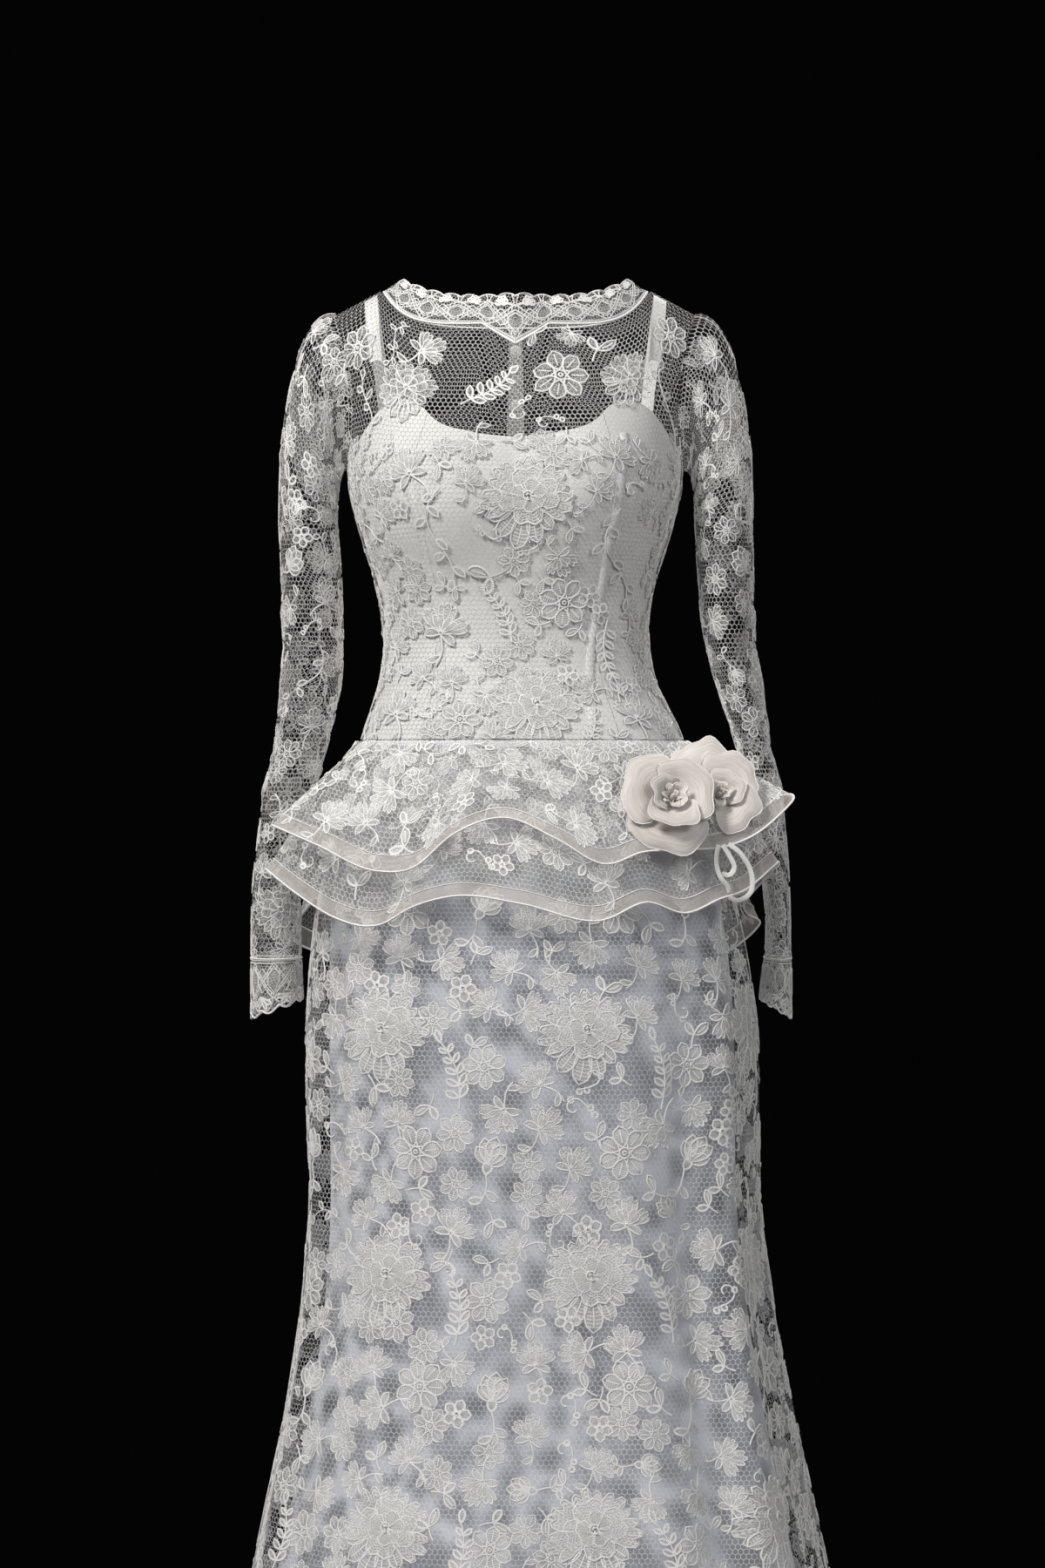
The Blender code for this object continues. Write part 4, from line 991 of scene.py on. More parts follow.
def draw_half():
    """Blossom from the side: a fan of scalloped petals over a calyx, with curled leaves and a stem."""
    motif = Pattern()
    for lean, reach, spread in ((38, 0.027, 22), (90, 0.030, 24), (142, 0.027, 22)):
        motif.fan(np.array([0.0, -0.006]), math.radians(lean), reach, spread)
    for lean, reach in ((62, 0.019), (118, 0.019)):
        motif.fan(np.array([0.0, -0.006]), math.radians(lean), reach, 26, lobes=2, level=1, veins=1)
    t = np.linspace(0, 1, 9)
    stem = np.stack([0.008 * np.sin(t * 2.2), -0.007 - 0.030 * t], axis=-1)
    motif.cord(stem, 0.0014, rise=0.0009)
    motif.petal(np.array([0.0, -0.007]), math.radians(200), 0.019, 0.0085, bend=0.9)
    motif.petal(np.array([0.0, -0.007]), math.radians(-22), 0.018, 0.0080, bend=-0.9)
    motif.petal(stem[5], math.radians(218), 0.016, 0.0072, bend=-0.8)
    return motif.join()


def draw_vine():
    """Long thin stem in two bends, with drop leaves on alternate sides."""
    motif = Pattern()
    t = np.linspace(0, 1, 15)
    stem = np.stack([0.013 * np.sin(t * 5.0), 0.084 * t - 0.042], axis=-1)
    motif.cord(stem, 0.0011, rise=0.0008)
    for place, index in enumerate((1, 3, 5, 8, 10, 12)):
        lean = 0.95 if place % 2 else -0.95
        motif.petal(stem[index], math.pi / 2 + lean, 0.0135, 0.0070, steps=4, power=0.6, bend=-lean * 0.5)
    motif.petal(stem[-1], math.radians(75), 0.0125, 0.0068, steps=5, power=0.6)
    return motif.join()


def draw_daisy():
    """Flat flower of seven separate petals round a ringed eye."""
    motif = Pattern()
    for index in range(7):
        angle = math.radians(index * 360 / 7 + 90)
        foot = 0.0052 * np.array([math.cos(angle), math.sin(angle)])
        motif.petal(foot, angle, 0.0195, 0.0150, steps=5, power=0.5, veins=1)
    motif.cord(arc_line((0, 0), 0.0048, 0, 2 * math.pi, 12), 0.0013, rise=0.0010)
    motif.cord(arc_line((0, 0), 0.0018, 0, 2 * math.pi, 7), 0.0013, rise=0.0012)
    return motif.join()


def draw_bud():
    """Half-open flower seen from the side, on a curved stem with two leaves."""
    motif = Pattern()
    for angle, length, width in (
        (140, 0.019, 0.012), (115, 0.024, 0.013), (90, 0.026, 0.014), (65, 0.024, 0.013), (40, 0.018, 0.012),
    ):
        motif.petal(np.array([0.0, 0.0]), math.radians(angle), length, width, power=0.55, veins=1)
    motif.petal(np.array([0.0, -0.009]), math.radians(90), 0.012, 0.009, steps=5, power=0.6, dome=0.0012)
    stem = np.stack([0.005 * np.sin(np.linspace(0, 2.4, 8)), -0.008 - np.linspace(0, 0.026, 8)], axis=-1)
    motif.cord(stem, 0.0014, rise=0.0009)
    motif.petal(stem[4], math.radians(-20), 0.015, 0.0075, steps=5, bend=0.7)
    motif.petal(stem[6], math.radians(205), 0.014, 0.0070, steps=5, bend=-0.7)
    return motif.join()


def draw_small():
    """Small flower of five petals."""
    motif = Pattern()
    for index in range(5):
        angle = math.radians(index * 72 + 90)
        foot = 0.0022 * np.array([math.cos(angle), math.sin(angle)])
        motif.petal(foot, angle, 0.0112, 0.0098, steps=4, power=0.5)
    motif.cord(arc_line((0, 0), 0.0020, 0, 2 * math.pi, 7), 0.0012, rise=0.0011)
    return motif.join()


def draw_spray():
    """Bent stem with paired narrow leaves."""
    motif = Pattern()
    t = np.linspace(0, 1, 13)
    stem = np.stack([0.010 * np.sin(t * 2.6) - 0.004, 0.062 * t - 0.031], axis=-1)
    motif.cord(stem, 0.0013, rise=0.0009)
    for index in range(2, 12, 2):
        size = 0.0150 - 0.0006 * index
        for lean in (0.85, -0.85):
            motif.petal(stem[index], math.pi / 2 + lean, size, size * 0.46, steps=4, bend=-lean * 0.5)
    motif.petal(stem[-1], math.pi / 2, 0.012, 0.0058, steps=5)
    return motif.join()


def draw_leaf():
    """Two leaves on a short stem."""
    motif = Pattern()
    motif.petal(np.array([0.0, -0.004]), math.radians(62), 0.017, 0.0080, bend=0.5, veins=1)
    motif.petal(np.array([0.0, -0.004]), math.radians(150), 0.013, 0.0066, bend=-0.6)
    t = np.linspace(0, 1, 6)
    motif.cord(np.stack([0.003 * t ** 2, -0.004 - 0.012 * t], axis=-1), 0.0012)
    return motif.join()


def draw_curl():
    """Scrolled tendril with berries."""
    motif = Pattern()
    t = np.linspace(0, 1, 16)
    radius = 0.010 * (1 - 0.72 * t)
    turn = 0.4 + 5.2 * t
    scroll = np.stack([radius * np.cos(turn) - 0.004, radius * np.sin(turn)], axis=-1)
    motif.cord(scroll, 0.0013, rise=0.0009)
    out, down = 0.012 * t[:7] ** 0.8 * 1.4, 0.016 * t[:7] * 2.2
    tail = np.stack([scroll[0][0] + out, scroll[0][1] - down], axis=-1)
    motif.cord(tail, 0.0013, rise=0.0009)
    for place in (scroll[5], tail[3], tail[-1]):
        motif.petal(place + np.array([0.0, -0.001]), math.radians(60), 0.0062, 0.0056, steps=5, power=0.5)
    return motif.join()


LIBRARY = {
    "rose": draw_rose(),
    "half": draw_half(),
    "vine": draw_vine(),
    "daisy": draw_daisy(),
    "bud": draw_bud(),
    "small": draw_small(),
    "spray": draw_spray(),
    "leaf": draw_leaf(),
    "curl": draw_curl(),
}


def lay(cloth, places, lift):
    """Lay motifs on a cloth: each place is kind, across, along, turn in degrees and size."""
    verts = []
    uvs = []
    faces = []
    slots = []
    count = 0
    rows, cols = cloth.points.shape[:2]
    row_step = np.gradient(cloth.v)
    for kind, u, v, turn, size in places:
        motif = LIBRARY[kind]
        r0, c0 = cloth.locate(u, v)
        spin = math.radians(turn)
        x, y = (motif["flat"] * size).T
        across = x * math.cos(spin) - y * math.sin(spin)
        along = x * math.sin(spin) + y * math.cos(spin)
        r = r0 + along / row_step[int(round(r0))]
        inside = np.clip(r, 0, rows - 1)
        step = np.gradient(cloth.u, axis=1)[np.round(inside).astype(int), int(round(c0))]
        c = c0 + across / step
        held = np.clip(c, 0, cols - 1)
        out = (inside != r) | (held != c)
        keep = ~out[motif["faces"]].all(axis=1)
        points, normals = cloth.sample(inside, held)
        verts.append(points + normals * (lift + motif["height"] * min(size, 1.0))[:, None])
        uvs.append(motif["uv"] * size)
        faces.append(motif["faces"][keep] + count)
        slots.append(motif["slots"][keep])
        count += len(x)
    return np.concatenate(verts), np.concatenate(faces), np.concatenate(uvs), np.concatenate(slots)


def scatter(cloth, placed, rng, density=1.0, low=0.0, high=1.0, shrink=1.0):
    """Add small motifs in the gaps between the placed ones, and return all of them."""
    taken = [(u, v, LIBRARY[kind]["radius"] * size * NEAR_SHARE) for kind, u, v, turn, size in placed]
    places = list(placed)
    length = cloth.v[-1]
    width = np.ptp(cloth.u, axis=1).mean()
    tries = int(FILL_TRIES * density * width * length / (REPEAT_ACROSS * REPEAT_ALONG))
    for kind in FILLERS:
        for _ in range(tries):
            v = length * (low + (high - low) * rng.random())
            row = cloth.u[int(round(np.interp(v, cloth.v, np.arange(len(cloth.v)))))]
            u = row[0] + (row[-1] - row[0]) * rng.random()
            turn = rng.choice([0, 40, -35, 90, 150, 200, -100]) + rng.uniform(-12, 12)
            size = FILL_SIZES[kind] * shrink * rng.uniform(0.88, 1.10)
            reach = LIBRARY[kind]["radius"] * size * NEAR_SHARE
            near = np.array(taken).reshape(-1, 3)
            if len(near) and (np.hypot(near[:, 0] - u, near[:, 1] - v) < near[:, 2] + reach).any():
                continue
            taken.append((u, v, reach))
            places.append((kind, u, v, turn, size))
    return places


def repeats(cloth, shift, low, high):
    """Large motifs of the lace's regular repeat, from one height share to another."""
    places = []
    length = cloth.v[-1]
    for row in range(int(length / REPEAT_ALONG) + 2):
        for name, du, dv, turn, size in (
            ("rose", 0.045, 0.120, 0, 1.0),
            ("daisy", 0.078, 0.018, 10, 1.0),
            ("bud", -0.045, 0.010, -20, 1.0),
            ("daisy", -0.048, 0.098, 30, 0.85),
            ("spray", 0.112, 0.090, 8, 1.0),
        ):
            v = row * REPEAT_ALONG + dv + 0.006 * math.sin(row * 2.3 + du * 40)
            if not low * length <= v <= high * length:
                continue
            line = cloth.u[int(round(np.interp(v, cloth.v, np.arange(len(cloth.v)))))]
            first = int(math.floor((line[0] - du - shift) / REPEAT_ACROSS))
            for column in range(first, first + int(np.ptp(line) / REPEAT_ACROSS) + 3):
                u = column * REPEAT_ACROSS + du + shift
                if line[0] < u < line[-1]:
                    places.append((name, u, v, turn + 14 * math.sin(column * 1.9 + row), size))
    return places


def by_hand(cloth, rows):
    """Places on a cloth of motifs given by their place in the front view."""
    places = []
    for values in rows:
        row = dict(zip(MOTIF_COLUMNS, values))
        u, v = cloth.near(row["x"], row["z"])
        places.append((row["kind"], u, v, row["turn"], row["size"]))
    return places


def motif_piece(name, cloth, places, lift=LACE_AT, bare_above=None):
    """Joined mesh of all motifs on a cloth; fills above a height have no slip behind and are more open."""
    verts, faces, uvs, slots = lay(cloth, places, lift)
    if bare_above is not None:
        slots = np.where((slots == 0) & (verts[faces[:, 0], 2] > bare_above), 2, slots)
    materials = [MATERIALS[kind] for kind in ("fill", "cord", "sheer_fill")]
    piece = make_mesh(f"{name}_motifs", verts, faces, uvs, slots, materials)
    return settle(piece, None)


def tube_piece(name, line, radius, material, sides=6):
    """Round cord or roll along a line of points."""
    way = np.gradient(line, axis=0)
    way /= np.linalg.norm(way, axis=-1, keepdims=True)
    first = np.cross(way, np.array([0, 0, 1.0]))
    first /= np.maximum(np.linalg.norm(first, axis=-1, keepdims=True), 1e-9)
    second = np.cross(way, first)
    turn = np.arange(sides + 1) * 2 * math.pi / sides
    ring = first[:, None] * np.cos(turn)[None, :, None] + second[:, None] * np.sin(turn)[None, :, None]
    verts = line[:, None] + ring * radius
    run = np.tile(run_along(line)[:, None], (1, sides + 1))
    uvs = np.stack([np.tile(turn * radius, (len(line), 1)), run], axis=-1)
    faces = grid_faces(len(line), sides + 1)
    piece = make_mesh(name, verts.reshape(-1, 3), faces, uvs.reshape(-1, 2), 0, [material])
    return settle(piece, None)


def strip_on(name, cloth, line, width, rise, material, lift):
    """Raised band of cloth along a line of across and along places."""
    line = np.array(line)
    way = np.gradient(line, axis=0)
    side = np.stack([-way[:, 1], way[:, 0]], axis=-1)
    side *= width / 2 / np.linalg.norm(side, axis=-1, keepdims=True)
    profile = ((-1, 0), (-0.9, 0.8), (0, 1), (0.9, 0.8), (1, 0))
    grid = []
    for share, high in profile:
        flat = line + side * share
        r = np.interp(flat[:, 1], cloth.v, np.arange(len(cloth.v)))
        numbers = np.arange(cloth.u.shape[1])
        c = np.array([np.interp(u, cloth.u[int(round(k))], numbers) for u, k in zip(flat[:, 0], r)])
        points, normals = cloth.sample(r, c)
        grid.append(points + normals * (lift + rise * high))
    verts = np.stack(grid, axis=1)
    u, v = measure(verts)
    uvs = np.stack([u, v[:, None] + 0 * u], axis=-1).reshape(-1, 2)
    piece = make_mesh(name, verts.reshape(-1, 3), grid_faces(*verts.shape[:2]), uvs, 0, [material])
    return settle(piece, None)


class Nodes:
    """Short way to build a material's nodes."""

    def __init__(self, name):
        self.material = bpy.data.materials.new(name)
        self.material.use_nodes = True
        self.tree = self.material.node_tree
        self.shader = self.tree.nodes["Principled BSDF"]

    def add(self, kind, settings=None, **links):
        node = self.tree.nodes.new(kind)
        for key, value in (settings or {}).items():
            setattr(node, key, value)
        for key, value in links.items():
            numbered = key[0] == "i" and key[1:].isdigit()
            self.wire(node.inputs[int(key[1:])] if numbered else node.inputs[key], value)
        return node

    def wire(self, socket, value):
        if isinstance(value, bpy.types.NodeSocket):
            self.tree.links.new(value, socket)
        else:
            socket.default_value = value

    def math(self, operation, first, second=0.0):
        return self.add("ShaderNodeMath", {"operation": operation}, i0=first, i1=second).outputs[0]

    def uv(self):
        return self.add("ShaderNodeUVMap", {"uv_map": "cloth"}).outputs[0]

    def ramp(self, value, low, high, to_low, to_high):
        node = self.add("ShaderNodeMapRange", {"interpolation_type": "SMOOTHSTEP"})
        for index, item in enumerate((value, low, high, to_low, to_high)):
            self.wire(node.inputs[index], item)
        return node.outputs[0]

    def noise(self, scale, detail=3.0, vector=None):
        node = self.add("ShaderNodeTexNoise")
        node.inputs["Scale"].default_value = scale
        node.inputs["Detail"].default_value = detail
        if vector is None:
            vector = self.add("ShaderNodeTexCoord").outputs["Object"]
        self.wire(node.inputs["Vector"], vector)
        return node.outputs[0]

    def blend(self, share, first, second):
        node = self.add("ShaderNodeMix", {"data_type": "RGBA"})
        self.wire(node.inputs[0], share)
        self.wire(node.inputs[6], (*first, 1))
        self.wire(node.inputs[7], (*second, 1))
        return node.outputs[2]

    def bump(self, height, strength, distance):
        node = self.add("ShaderNodeBump")
        node.inputs["Strength"].default_value = strength
        node.inputs["Distance"].default_value = distance
        self.wire(node.inputs["Height"], height)
        self.wire(self.shader.inputs["Normal"], node.outputs[0])

    def cloth(self, roughness, sheen, sheen_roughness=0.5):
        self.shader.inputs["Roughness"].default_value = roughness
        self.shader.inputs["Sheen Weight"].default_value = sheen
        self.shader.inputs["Sheen Roughness"].default_value = sheen_roughness
        self.shader.inputs["Specular IOR Level"].default_value = 0.3


def six_sided(nodes, cell):
    """Distance from the middle of six-sided cells: 0 at the middle, 0.5 on the threads."""
    split = nodes.add("ShaderNodeSeparateXYZ", None, i0=nodes.uv())
    x = nodes.math("DIVIDE", split.outputs[0], cell)
    y = nodes.math("DIVIDE", split.outputs[1], cell * math.sqrt(3))
    ways = []
    for shift in (0.0, 0.5):
        shares = [nodes.math("FRACT", nodes.math("ADD", way, 50 + shift)) for way in (x, y)]
        across, along = [nodes.math("ABSOLUTE", nodes.math("SUBTRACT", share, 0.5)) for share in shares]
        slant = nodes.math("ADD", nodes.math("MULTIPLY", across, 0.5), nodes.math("MULTIPLY", along, 1.5))
        ways.append(nodes.math("MAXIMUM", across, slant))
    return nodes.math("MINIMUM", *ways)


def net_material(name, colour, dark, haze, thread=NET_THREAD, cell=NET_CELL):
    """Fine six-sided net: see-through cells with a slight haze between threads."""
    nodes = Nodes(name)
    away = six_sided(nodes, cell)
    line = nodes.ramp(away, 0.5 - thread - 0.025, 0.5 - thread + 0.015, 0.0, 0.85)
    uneven = nodes.ramp(nodes.noise(60.0), 0.3, 0.7, haze * 0.6, haze * 1.4)
    nodes.wire(nodes.shader.inputs["Alpha"], nodes.math("MAXIMUM", line, uneven))
    nodes.wire(nodes.shader.inputs["Base Color"], nodes.blend(nodes.noise(35.0), colour, dark))
    nodes.bump(line, 0.5, 0.0004)
    nodes.cloth(0.8, 0.25)
    return nodes.material


def fill_material(name, colour, dark, foot, tip):
    """Closely worked fill of a petal: fine threads, more open at its foot than at its tip."""
    nodes = Nodes(name)
    split = nodes.add("ShaderNodeSeparateXYZ", None, i0=nodes.uv())
    across, along = split.outputs[0], split.outputs[1]
    bow = nodes.math("MULTIPLY", nodes.math("MULTIPLY", across, across), 2.2)
    threads = nodes.math("SINE", nodes.math("ADD", nodes.math("MULTIPLY", along, 62.0), bow))
    grain = nodes.math("SINE", nodes.math("MULTIPLY", across, 34.0))
    weave = nodes.math("ADD", threads, nodes.math("MULTIPLY", grain, 0.6))
    sideways = nodes.math("MULTIPLY", nodes.math("ABSOLUTE", across), 0.25)
    body = nodes.ramp(nodes.math("ADD", along, sideways), 0.20, 0.70, foot, tip)
    worn = nodes.ramp(nodes.noise(140.0), 0.25, 0.75, 0.78, 1.12)
    cover = nodes.math("MULTIPLY", worn, nodes.ramp(weave, -1.3, 0.6, 0.70, 1.0))
    nodes.wire(nodes.shader.inputs["Alpha"], nodes.math("MULTIPLY", body, cover))
    tint = nodes.blend(nodes.ramp(weave, -1.2, 1.0, 0.0, 1.0), dark, colour)
    nodes.wire(nodes.shader.inputs["Base Color"], tint)
    nodes.bump(weave, 0.6, 0.0003)
    nodes.cloth(0.75, 0.35)
    return nodes.material


def cord_material(name, colour, dark, flat=True):
    """Twisted white cord with a soft lustre; a flat one has painted shade down both its sides, where it meets
    the cloth.
    """
    nodes = Nodes(name)
    split = nodes.add("ShaderNodeSeparateXYZ", None, i0=nodes.uv())
    turns = nodes.math("MULTIPLY", split.outputs[0], 5.0)
    twist = nodes.math("ADD", turns, nodes.math("MULTIPLY", split.outputs[1], 4200.0))
    ply = nodes.math("SINE", twist)
    shade = nodes.ramp(nodes.math("ADD", ply, nodes.noise(80.0)), -1.2, 1.0, 0.0, 1.0)
    # Painted shade: a flat cord darkens towards both sides, standing in for shade at its foot
    if flat:
        away = nodes.math("ABSOLUTE", nodes.math("SUBTRACT", split.outputs[0], 0.5))
        shade = nodes.math("MULTIPLY", shade, nodes.ramp(away, 0.24, 0.46, 1.0, 0.0))
    nodes.wire(nodes.shader.inputs["Base Color"], nodes.blend(shade, dark, colour))
    nodes.bump(ply, 0.5, 0.0003)
    nodes.cloth(0.55, 0.3)
    return nodes.material


def cross_threads(nodes, pitch):
    """Waves of the threads each way, one wave to a pitch."""
    split = nodes.add("ShaderNodeSeparateXYZ", None, i0=nodes.uv())
    return [nodes.math("SINE", nodes.math("MULTIPLY", split.outputs[i], 2 * math.pi / pitch)) for i in (0, 1)]


def crepe_material(name, colour, dark):
    """Pale crepe: pebbled grain, faint cross threads and cloudy shade."""
    nodes = Nodes(name)
    grain = nodes.noise(1500.0, 4.0)
    weave = nodes.math("MULTIPLY", *cross_threads(nodes, 0.0007))
    height = nodes.math("ADD", grain, nodes.math("MULTIPLY", weave, 0.25))
    tint = nodes.blend(nodes.ramp(nodes.noise(14.0), 0.3, 0.75, 0.0, 1.0), colour, dark)
    nodes.wire(nodes.shader.inputs["Base Color"], tint)
    nodes.bump(height, 0.35, 0.0004)
    nodes.cloth(0.62, 0.30)
    return nodes.material


def organza_material(name, colour, dark, alpha, thread=0.0008):
    """Crisp sheer silk: fine square weave, streaks along the threads, satin lustre."""
    nodes = Nodes(name)
    weave = nodes.math("MAXIMUM", *cross_threads(nodes, thread))
    streak = nodes.add("ShaderNodeMapping", None, i0=nodes.uv(), i3=(40.0, 900.0, 1.0)).outputs[0]
    cloudy = nodes.noise(1.0, 2.0, streak)
    cover = nodes.ramp(weave, -0.5, 0.6, alpha - 0.18, min(alpha + 0.12, 1.0))
    nodes.wire(nodes.shader.inputs["Alpha"], cover)
    tint = nodes.blend(nodes.ramp(cloudy, 0.25, 0.75, 0.0, 1.0), colour, dark)
    nodes.wire(nodes.shader.inputs["Base Color"], tint)
    nodes.bump(nodes.math("ADD", weave, cloudy), 0.30, 0.0003)
    nodes.cloth(0.45, 0.45)
    return nodes.material


def placket_material(name, colour, dark):
    """Doubled net of the placket: a CAD solid without UVs, so its grain follows the object's own space."""
    nodes = Nodes(name)
    grain = nodes.noise(900.0, 2.0)
    nodes.wire(nodes.shader.inputs["Alpha"], nodes.ramp(grain, 0.35, 0.65, 0.08, 0.34))
    nodes.wire(nodes.shader.inputs["Base Color"], nodes.blend(nodes.noise(60.0), colour, dark))
    nodes.bump(grain, 0.4, 0.0003)
    nodes.cloth(0.75, 0.3)
    return nodes.material


def floor_material():
    """Plain pale floor, faintly uneven."""
    nodes = Nodes("pale_floor")
    tint = nodes.blend(nodes.noise(3.0), (0.62, 0.61, 0.60), (0.56, 0.55, 0.54))
    nodes.wire(nodes.shader.inputs["Base Color"], tint)
    nodes.shader.inputs["Roughness"].default_value = 0.8
    return nodes.material


# The slip is one crepe in two tints: the ivory on the bodice is its own colour with painted warm light, the
# cool blue-white on the skirt is painted cool light. The satin's ivory is its own colour.
IVORY = (0.74, 0.73, 0.705)
IVORY_DARK = (0.64, 0.63, 0.61)
SLIP_COOL_LIGHT_TINT = (0.665, 0.68, 0.735)
SLIP_COOL_LIGHT_TINT_DARK = (0.58, 0.595, 0.655)
WHITE = (0.86, 0.85, 0.83)
WHITE_DARK = (0.68, 0.67, 0.65)
CORD_WHITE = (0.96, 0.95, 0.93)
# Painted shade at the foot of the flat cords
CORD_BASE_SHADE = (0.46, 0.45, 0.44)
BEIGE = (0.80, 0.745, 0.70)
BEIGE_DARK = (0.60, 0.55, 0.50)
MATERIALS = {
    "net": net_material("lace_net", WHITE, WHITE_DARK, 0.004),
    "tier_net": net_material("tier_net", WHITE, WHITE_DARK, 0.13),
    "edge_net": net_material("edge_net", WHITE, WHITE_DARK, 0.01, 0.045, 0.0030),
    "fill": fill_material("lace_fill", WHITE, WHITE_DARK, 0.30, 0.66),
    "sheer_fill": fill_material("sheer_fill", WHITE, WHITE_DARK, 0.08, 0.34),
    "cord": cord_material("lace_cord_base_shade", CORD_WHITE, CORD_BASE_SHADE),
    "roll": cord_material("round_cord", CORD_WHITE, WHITE_DARK, flat=False),
    # Two copies of one slip crepe: the bodice's with painted warm light, the skirt's with painted cool light
    "slip": crepe_material("slip_crepe", IVORY, IVORY_DARK),
    "skirt_slip_cool_light": crepe_material("skirt_crepe_cool_light", SLIP_COOL_LIGHT_TINT, SLIP_COOL_LIGHT_TINT_DARK),
    "organza": organza_material("rose_organza", BEIGE, BEIGE_DARK, 0.90),
    "hem_organza": organza_material("hem_organza", BEIGE, BEIGE_DARK, 0.36),
    "placket": placket_material("placket_net", WHITE, WHITE_DARK),
    "satin": organza_material("button_satin", IVORY, IVORY_DARK, 1.0),
}


def fine_rows(low, high, step):
    """Evenly spaced heights from low up to high."""
    return np.linspace(low, high, int(round((high - low) / step)) + 1)


def bodice_cloth(low, high, side, step=0.0045, top=None, layer=LACE_AT):
    """Cloth on the bodice between two seams, up to the neckline or to the slip's own edge."""
    columns_count = int(round((high - low) / 360 * 0.86 / step)) + 1
    heights = fine_rows(TORSO_ROW_Z[0], ARMPIT_Z, step) - ARMPIT_Z
    shares = np.linspace(0, 1, 34)[1:]
    base = np.radians(np.linspace(low, high, columns_count))
    ends = 1 if top is None else slip_share(base, side)
    lines = [np.full(columns_count, h) for h in heights] + [ends * s + 0 * base for s in shares]
    lines = np.array(lines)
    row_z = list(heights + ARMPIT_Z) + [ARMPIT_Z] * len(shares)
    angles = np.tile(base, (len(lines), 1))
    draw_in = SEAM_GAP / 2 / smooth(np.array(row_z), BODY["z"], BODY["front"])
    angles[:, 0] += draw_in
    angles[:, -1] -= draw_in
    points, normals = with_normals(bodice_surface(side), angles, lines)
    return Cloth(points + normals * layer)


def build_slip_bodice():
    """Seven crepe panels, with boning channels on the front."""
    panels = (
        ("lining_front_center", -PRINCESS_FRONT, PRINCESS_FRONT, 1),
        ("lining_front_side_right", -90, -PRINCESS_FRONT, 1),
        ("lining_front_side_left", PRINCESS_FRONT, 90, 1),
        ("lining_back_side_right", -PRINCESS_BACK, -90, -1),
        ("lining_back_side_left", 90, PRINCESS_BACK, -1),
        ("lining_back_right", -180, -PRINCESS_BACK, -1),
        ("lining_back_left", PRINCESS_BACK, 180, -1),
    )
    for name, low, high, side in panels:
        cloth = bodice_cloth(low, high, side, top="slip", layer=SLIP_AT)
        piece = sheet_piece(name, cloth, [MATERIALS["slip"]])
        declare(piece)
    whole = bodice_cloth(-90, 90, 1, top="slip", layer=SLIP_AT)
    for index, points in enumerate(CHANNELS):
        path = np.array(points)
        at = np.linspace(0, 1, 60)
        knots = np.linspace(0, 1, len(path))
        xs = smooth(at, knots, path[:, 0])
        zs = smooth(at, knots, path[:, 1])
        line = np.array([whole.near(x, z) for x, z in zip(xs, zs)])
        line[:, 0] = np.convolve(np.pad(line[:, 0], 4, mode="edge"), np.ones(9) / 9, mode="valid")
        line[:, 1] = np.linspace(line[0, 1], line[-1, 1], len(line))
        name = f"boning_channel_{index + 1}"
        strip_on(name, whole, line, CHANNEL_WIDTH, CHANNEL_RISE, MATERIALS["slip"], 0.0)


def build_straps():
    """Slip straps over the shoulders."""
    for name, sign in (("strap_right", -1), ("strap_left", 1)):
        rows = []
        for side in (1, -1):
            low, high = (0, 90) if side > 0 else (180, 90)
            grid = np.radians(np.linspace(low, high, 91))
            strip = []
            for share in np.linspace(0.58 if side > 0 else 0.30, 1, 26):
                points, normals = with_normals(bodice_surface(side), grid, np.full(91, share))
                across = np.linspace(*strap_edges(share), 5)
                at = [np.interp(across, points[:, 0], (points + normals * SLIP_AT)[:, k]) for k in range(3)]
                strip.append(np.stack(at, axis=-1) * np.array([sign, 1, 1]))
            rows += strip if side > 0 else strip[::-1]
        cloth = Cloth(np.array(rows), sign)
        piece = sheet_piece(name, cloth, [MATERIALS["slip"]])
        declare(piece)


def build_lace_bodice(rng):
    """Lace bodice with the sheer yoke and its motifs, up to the neckline."""
    for name, low, high, side in (
        ("lace_bodice_front", -90, 90, 1),
        ("lace_bodice_back_right", -180, -90, -1),
        ("lace_bodice_back_left", 90, 180, -1),
    ):
        cloth = bodice_cloth(low, high, side)
        if side > 0:
            cloth.crease(BODICE_CREASES)
            places = by_hand(cloth, YOKE_MOTIFS + BODICE_MOTIFS)
        else:
            mirrored = [(-u0, v0, -u1, v1, wide, high) for u0, v0, u1, v1, wide, high in BODICE_CREASES[::2]]
            cloth.crease(mirrored)
            places = repeats(cloth, 0.02, 0.05, BACK_YOKE_SHARE)
        yoke = FRONT_YOKE_SHARE if side > 0 else BACK_YOKE_SHARE
        places = scatter(cloth, places, rng, density=1.25, high=yoke, shrink=0.85)
        piece = sheet_piece(name, cloth, [MATERIALS["net"]])
        motifs = motif_piece(name, cloth, places, lift=0.0, bare_above=SLIP_ROWS[1][1])
        declare(piece)


def skirt_cloth(surface, low, high, bottom, layer, row_step, column_step):
    """Cloth of a skirt panel from the hem up to the waist."""
    heights = fine_rows(bottom, WAIST_SEAM_Z - SEAM_GAP, row_step)
    count = int(round((high - low) / 360 * 1.5 / column_step)) + 1
    angles = np.tile(np.radians(np.linspace(low, high, count)), (len(heights), 1))
    draw_in = SEAM_GAP / 2 / smooth(heights, BODY["z"], BODY["front"])
    angles[:, 0] += draw_in
    angles[:, -1] -= draw_in
    lines = np.tile(heights[:, None], (1, count))
    points, normals = with_normals(surface, angles, lines)
    return Cloth(points + normals * layer)


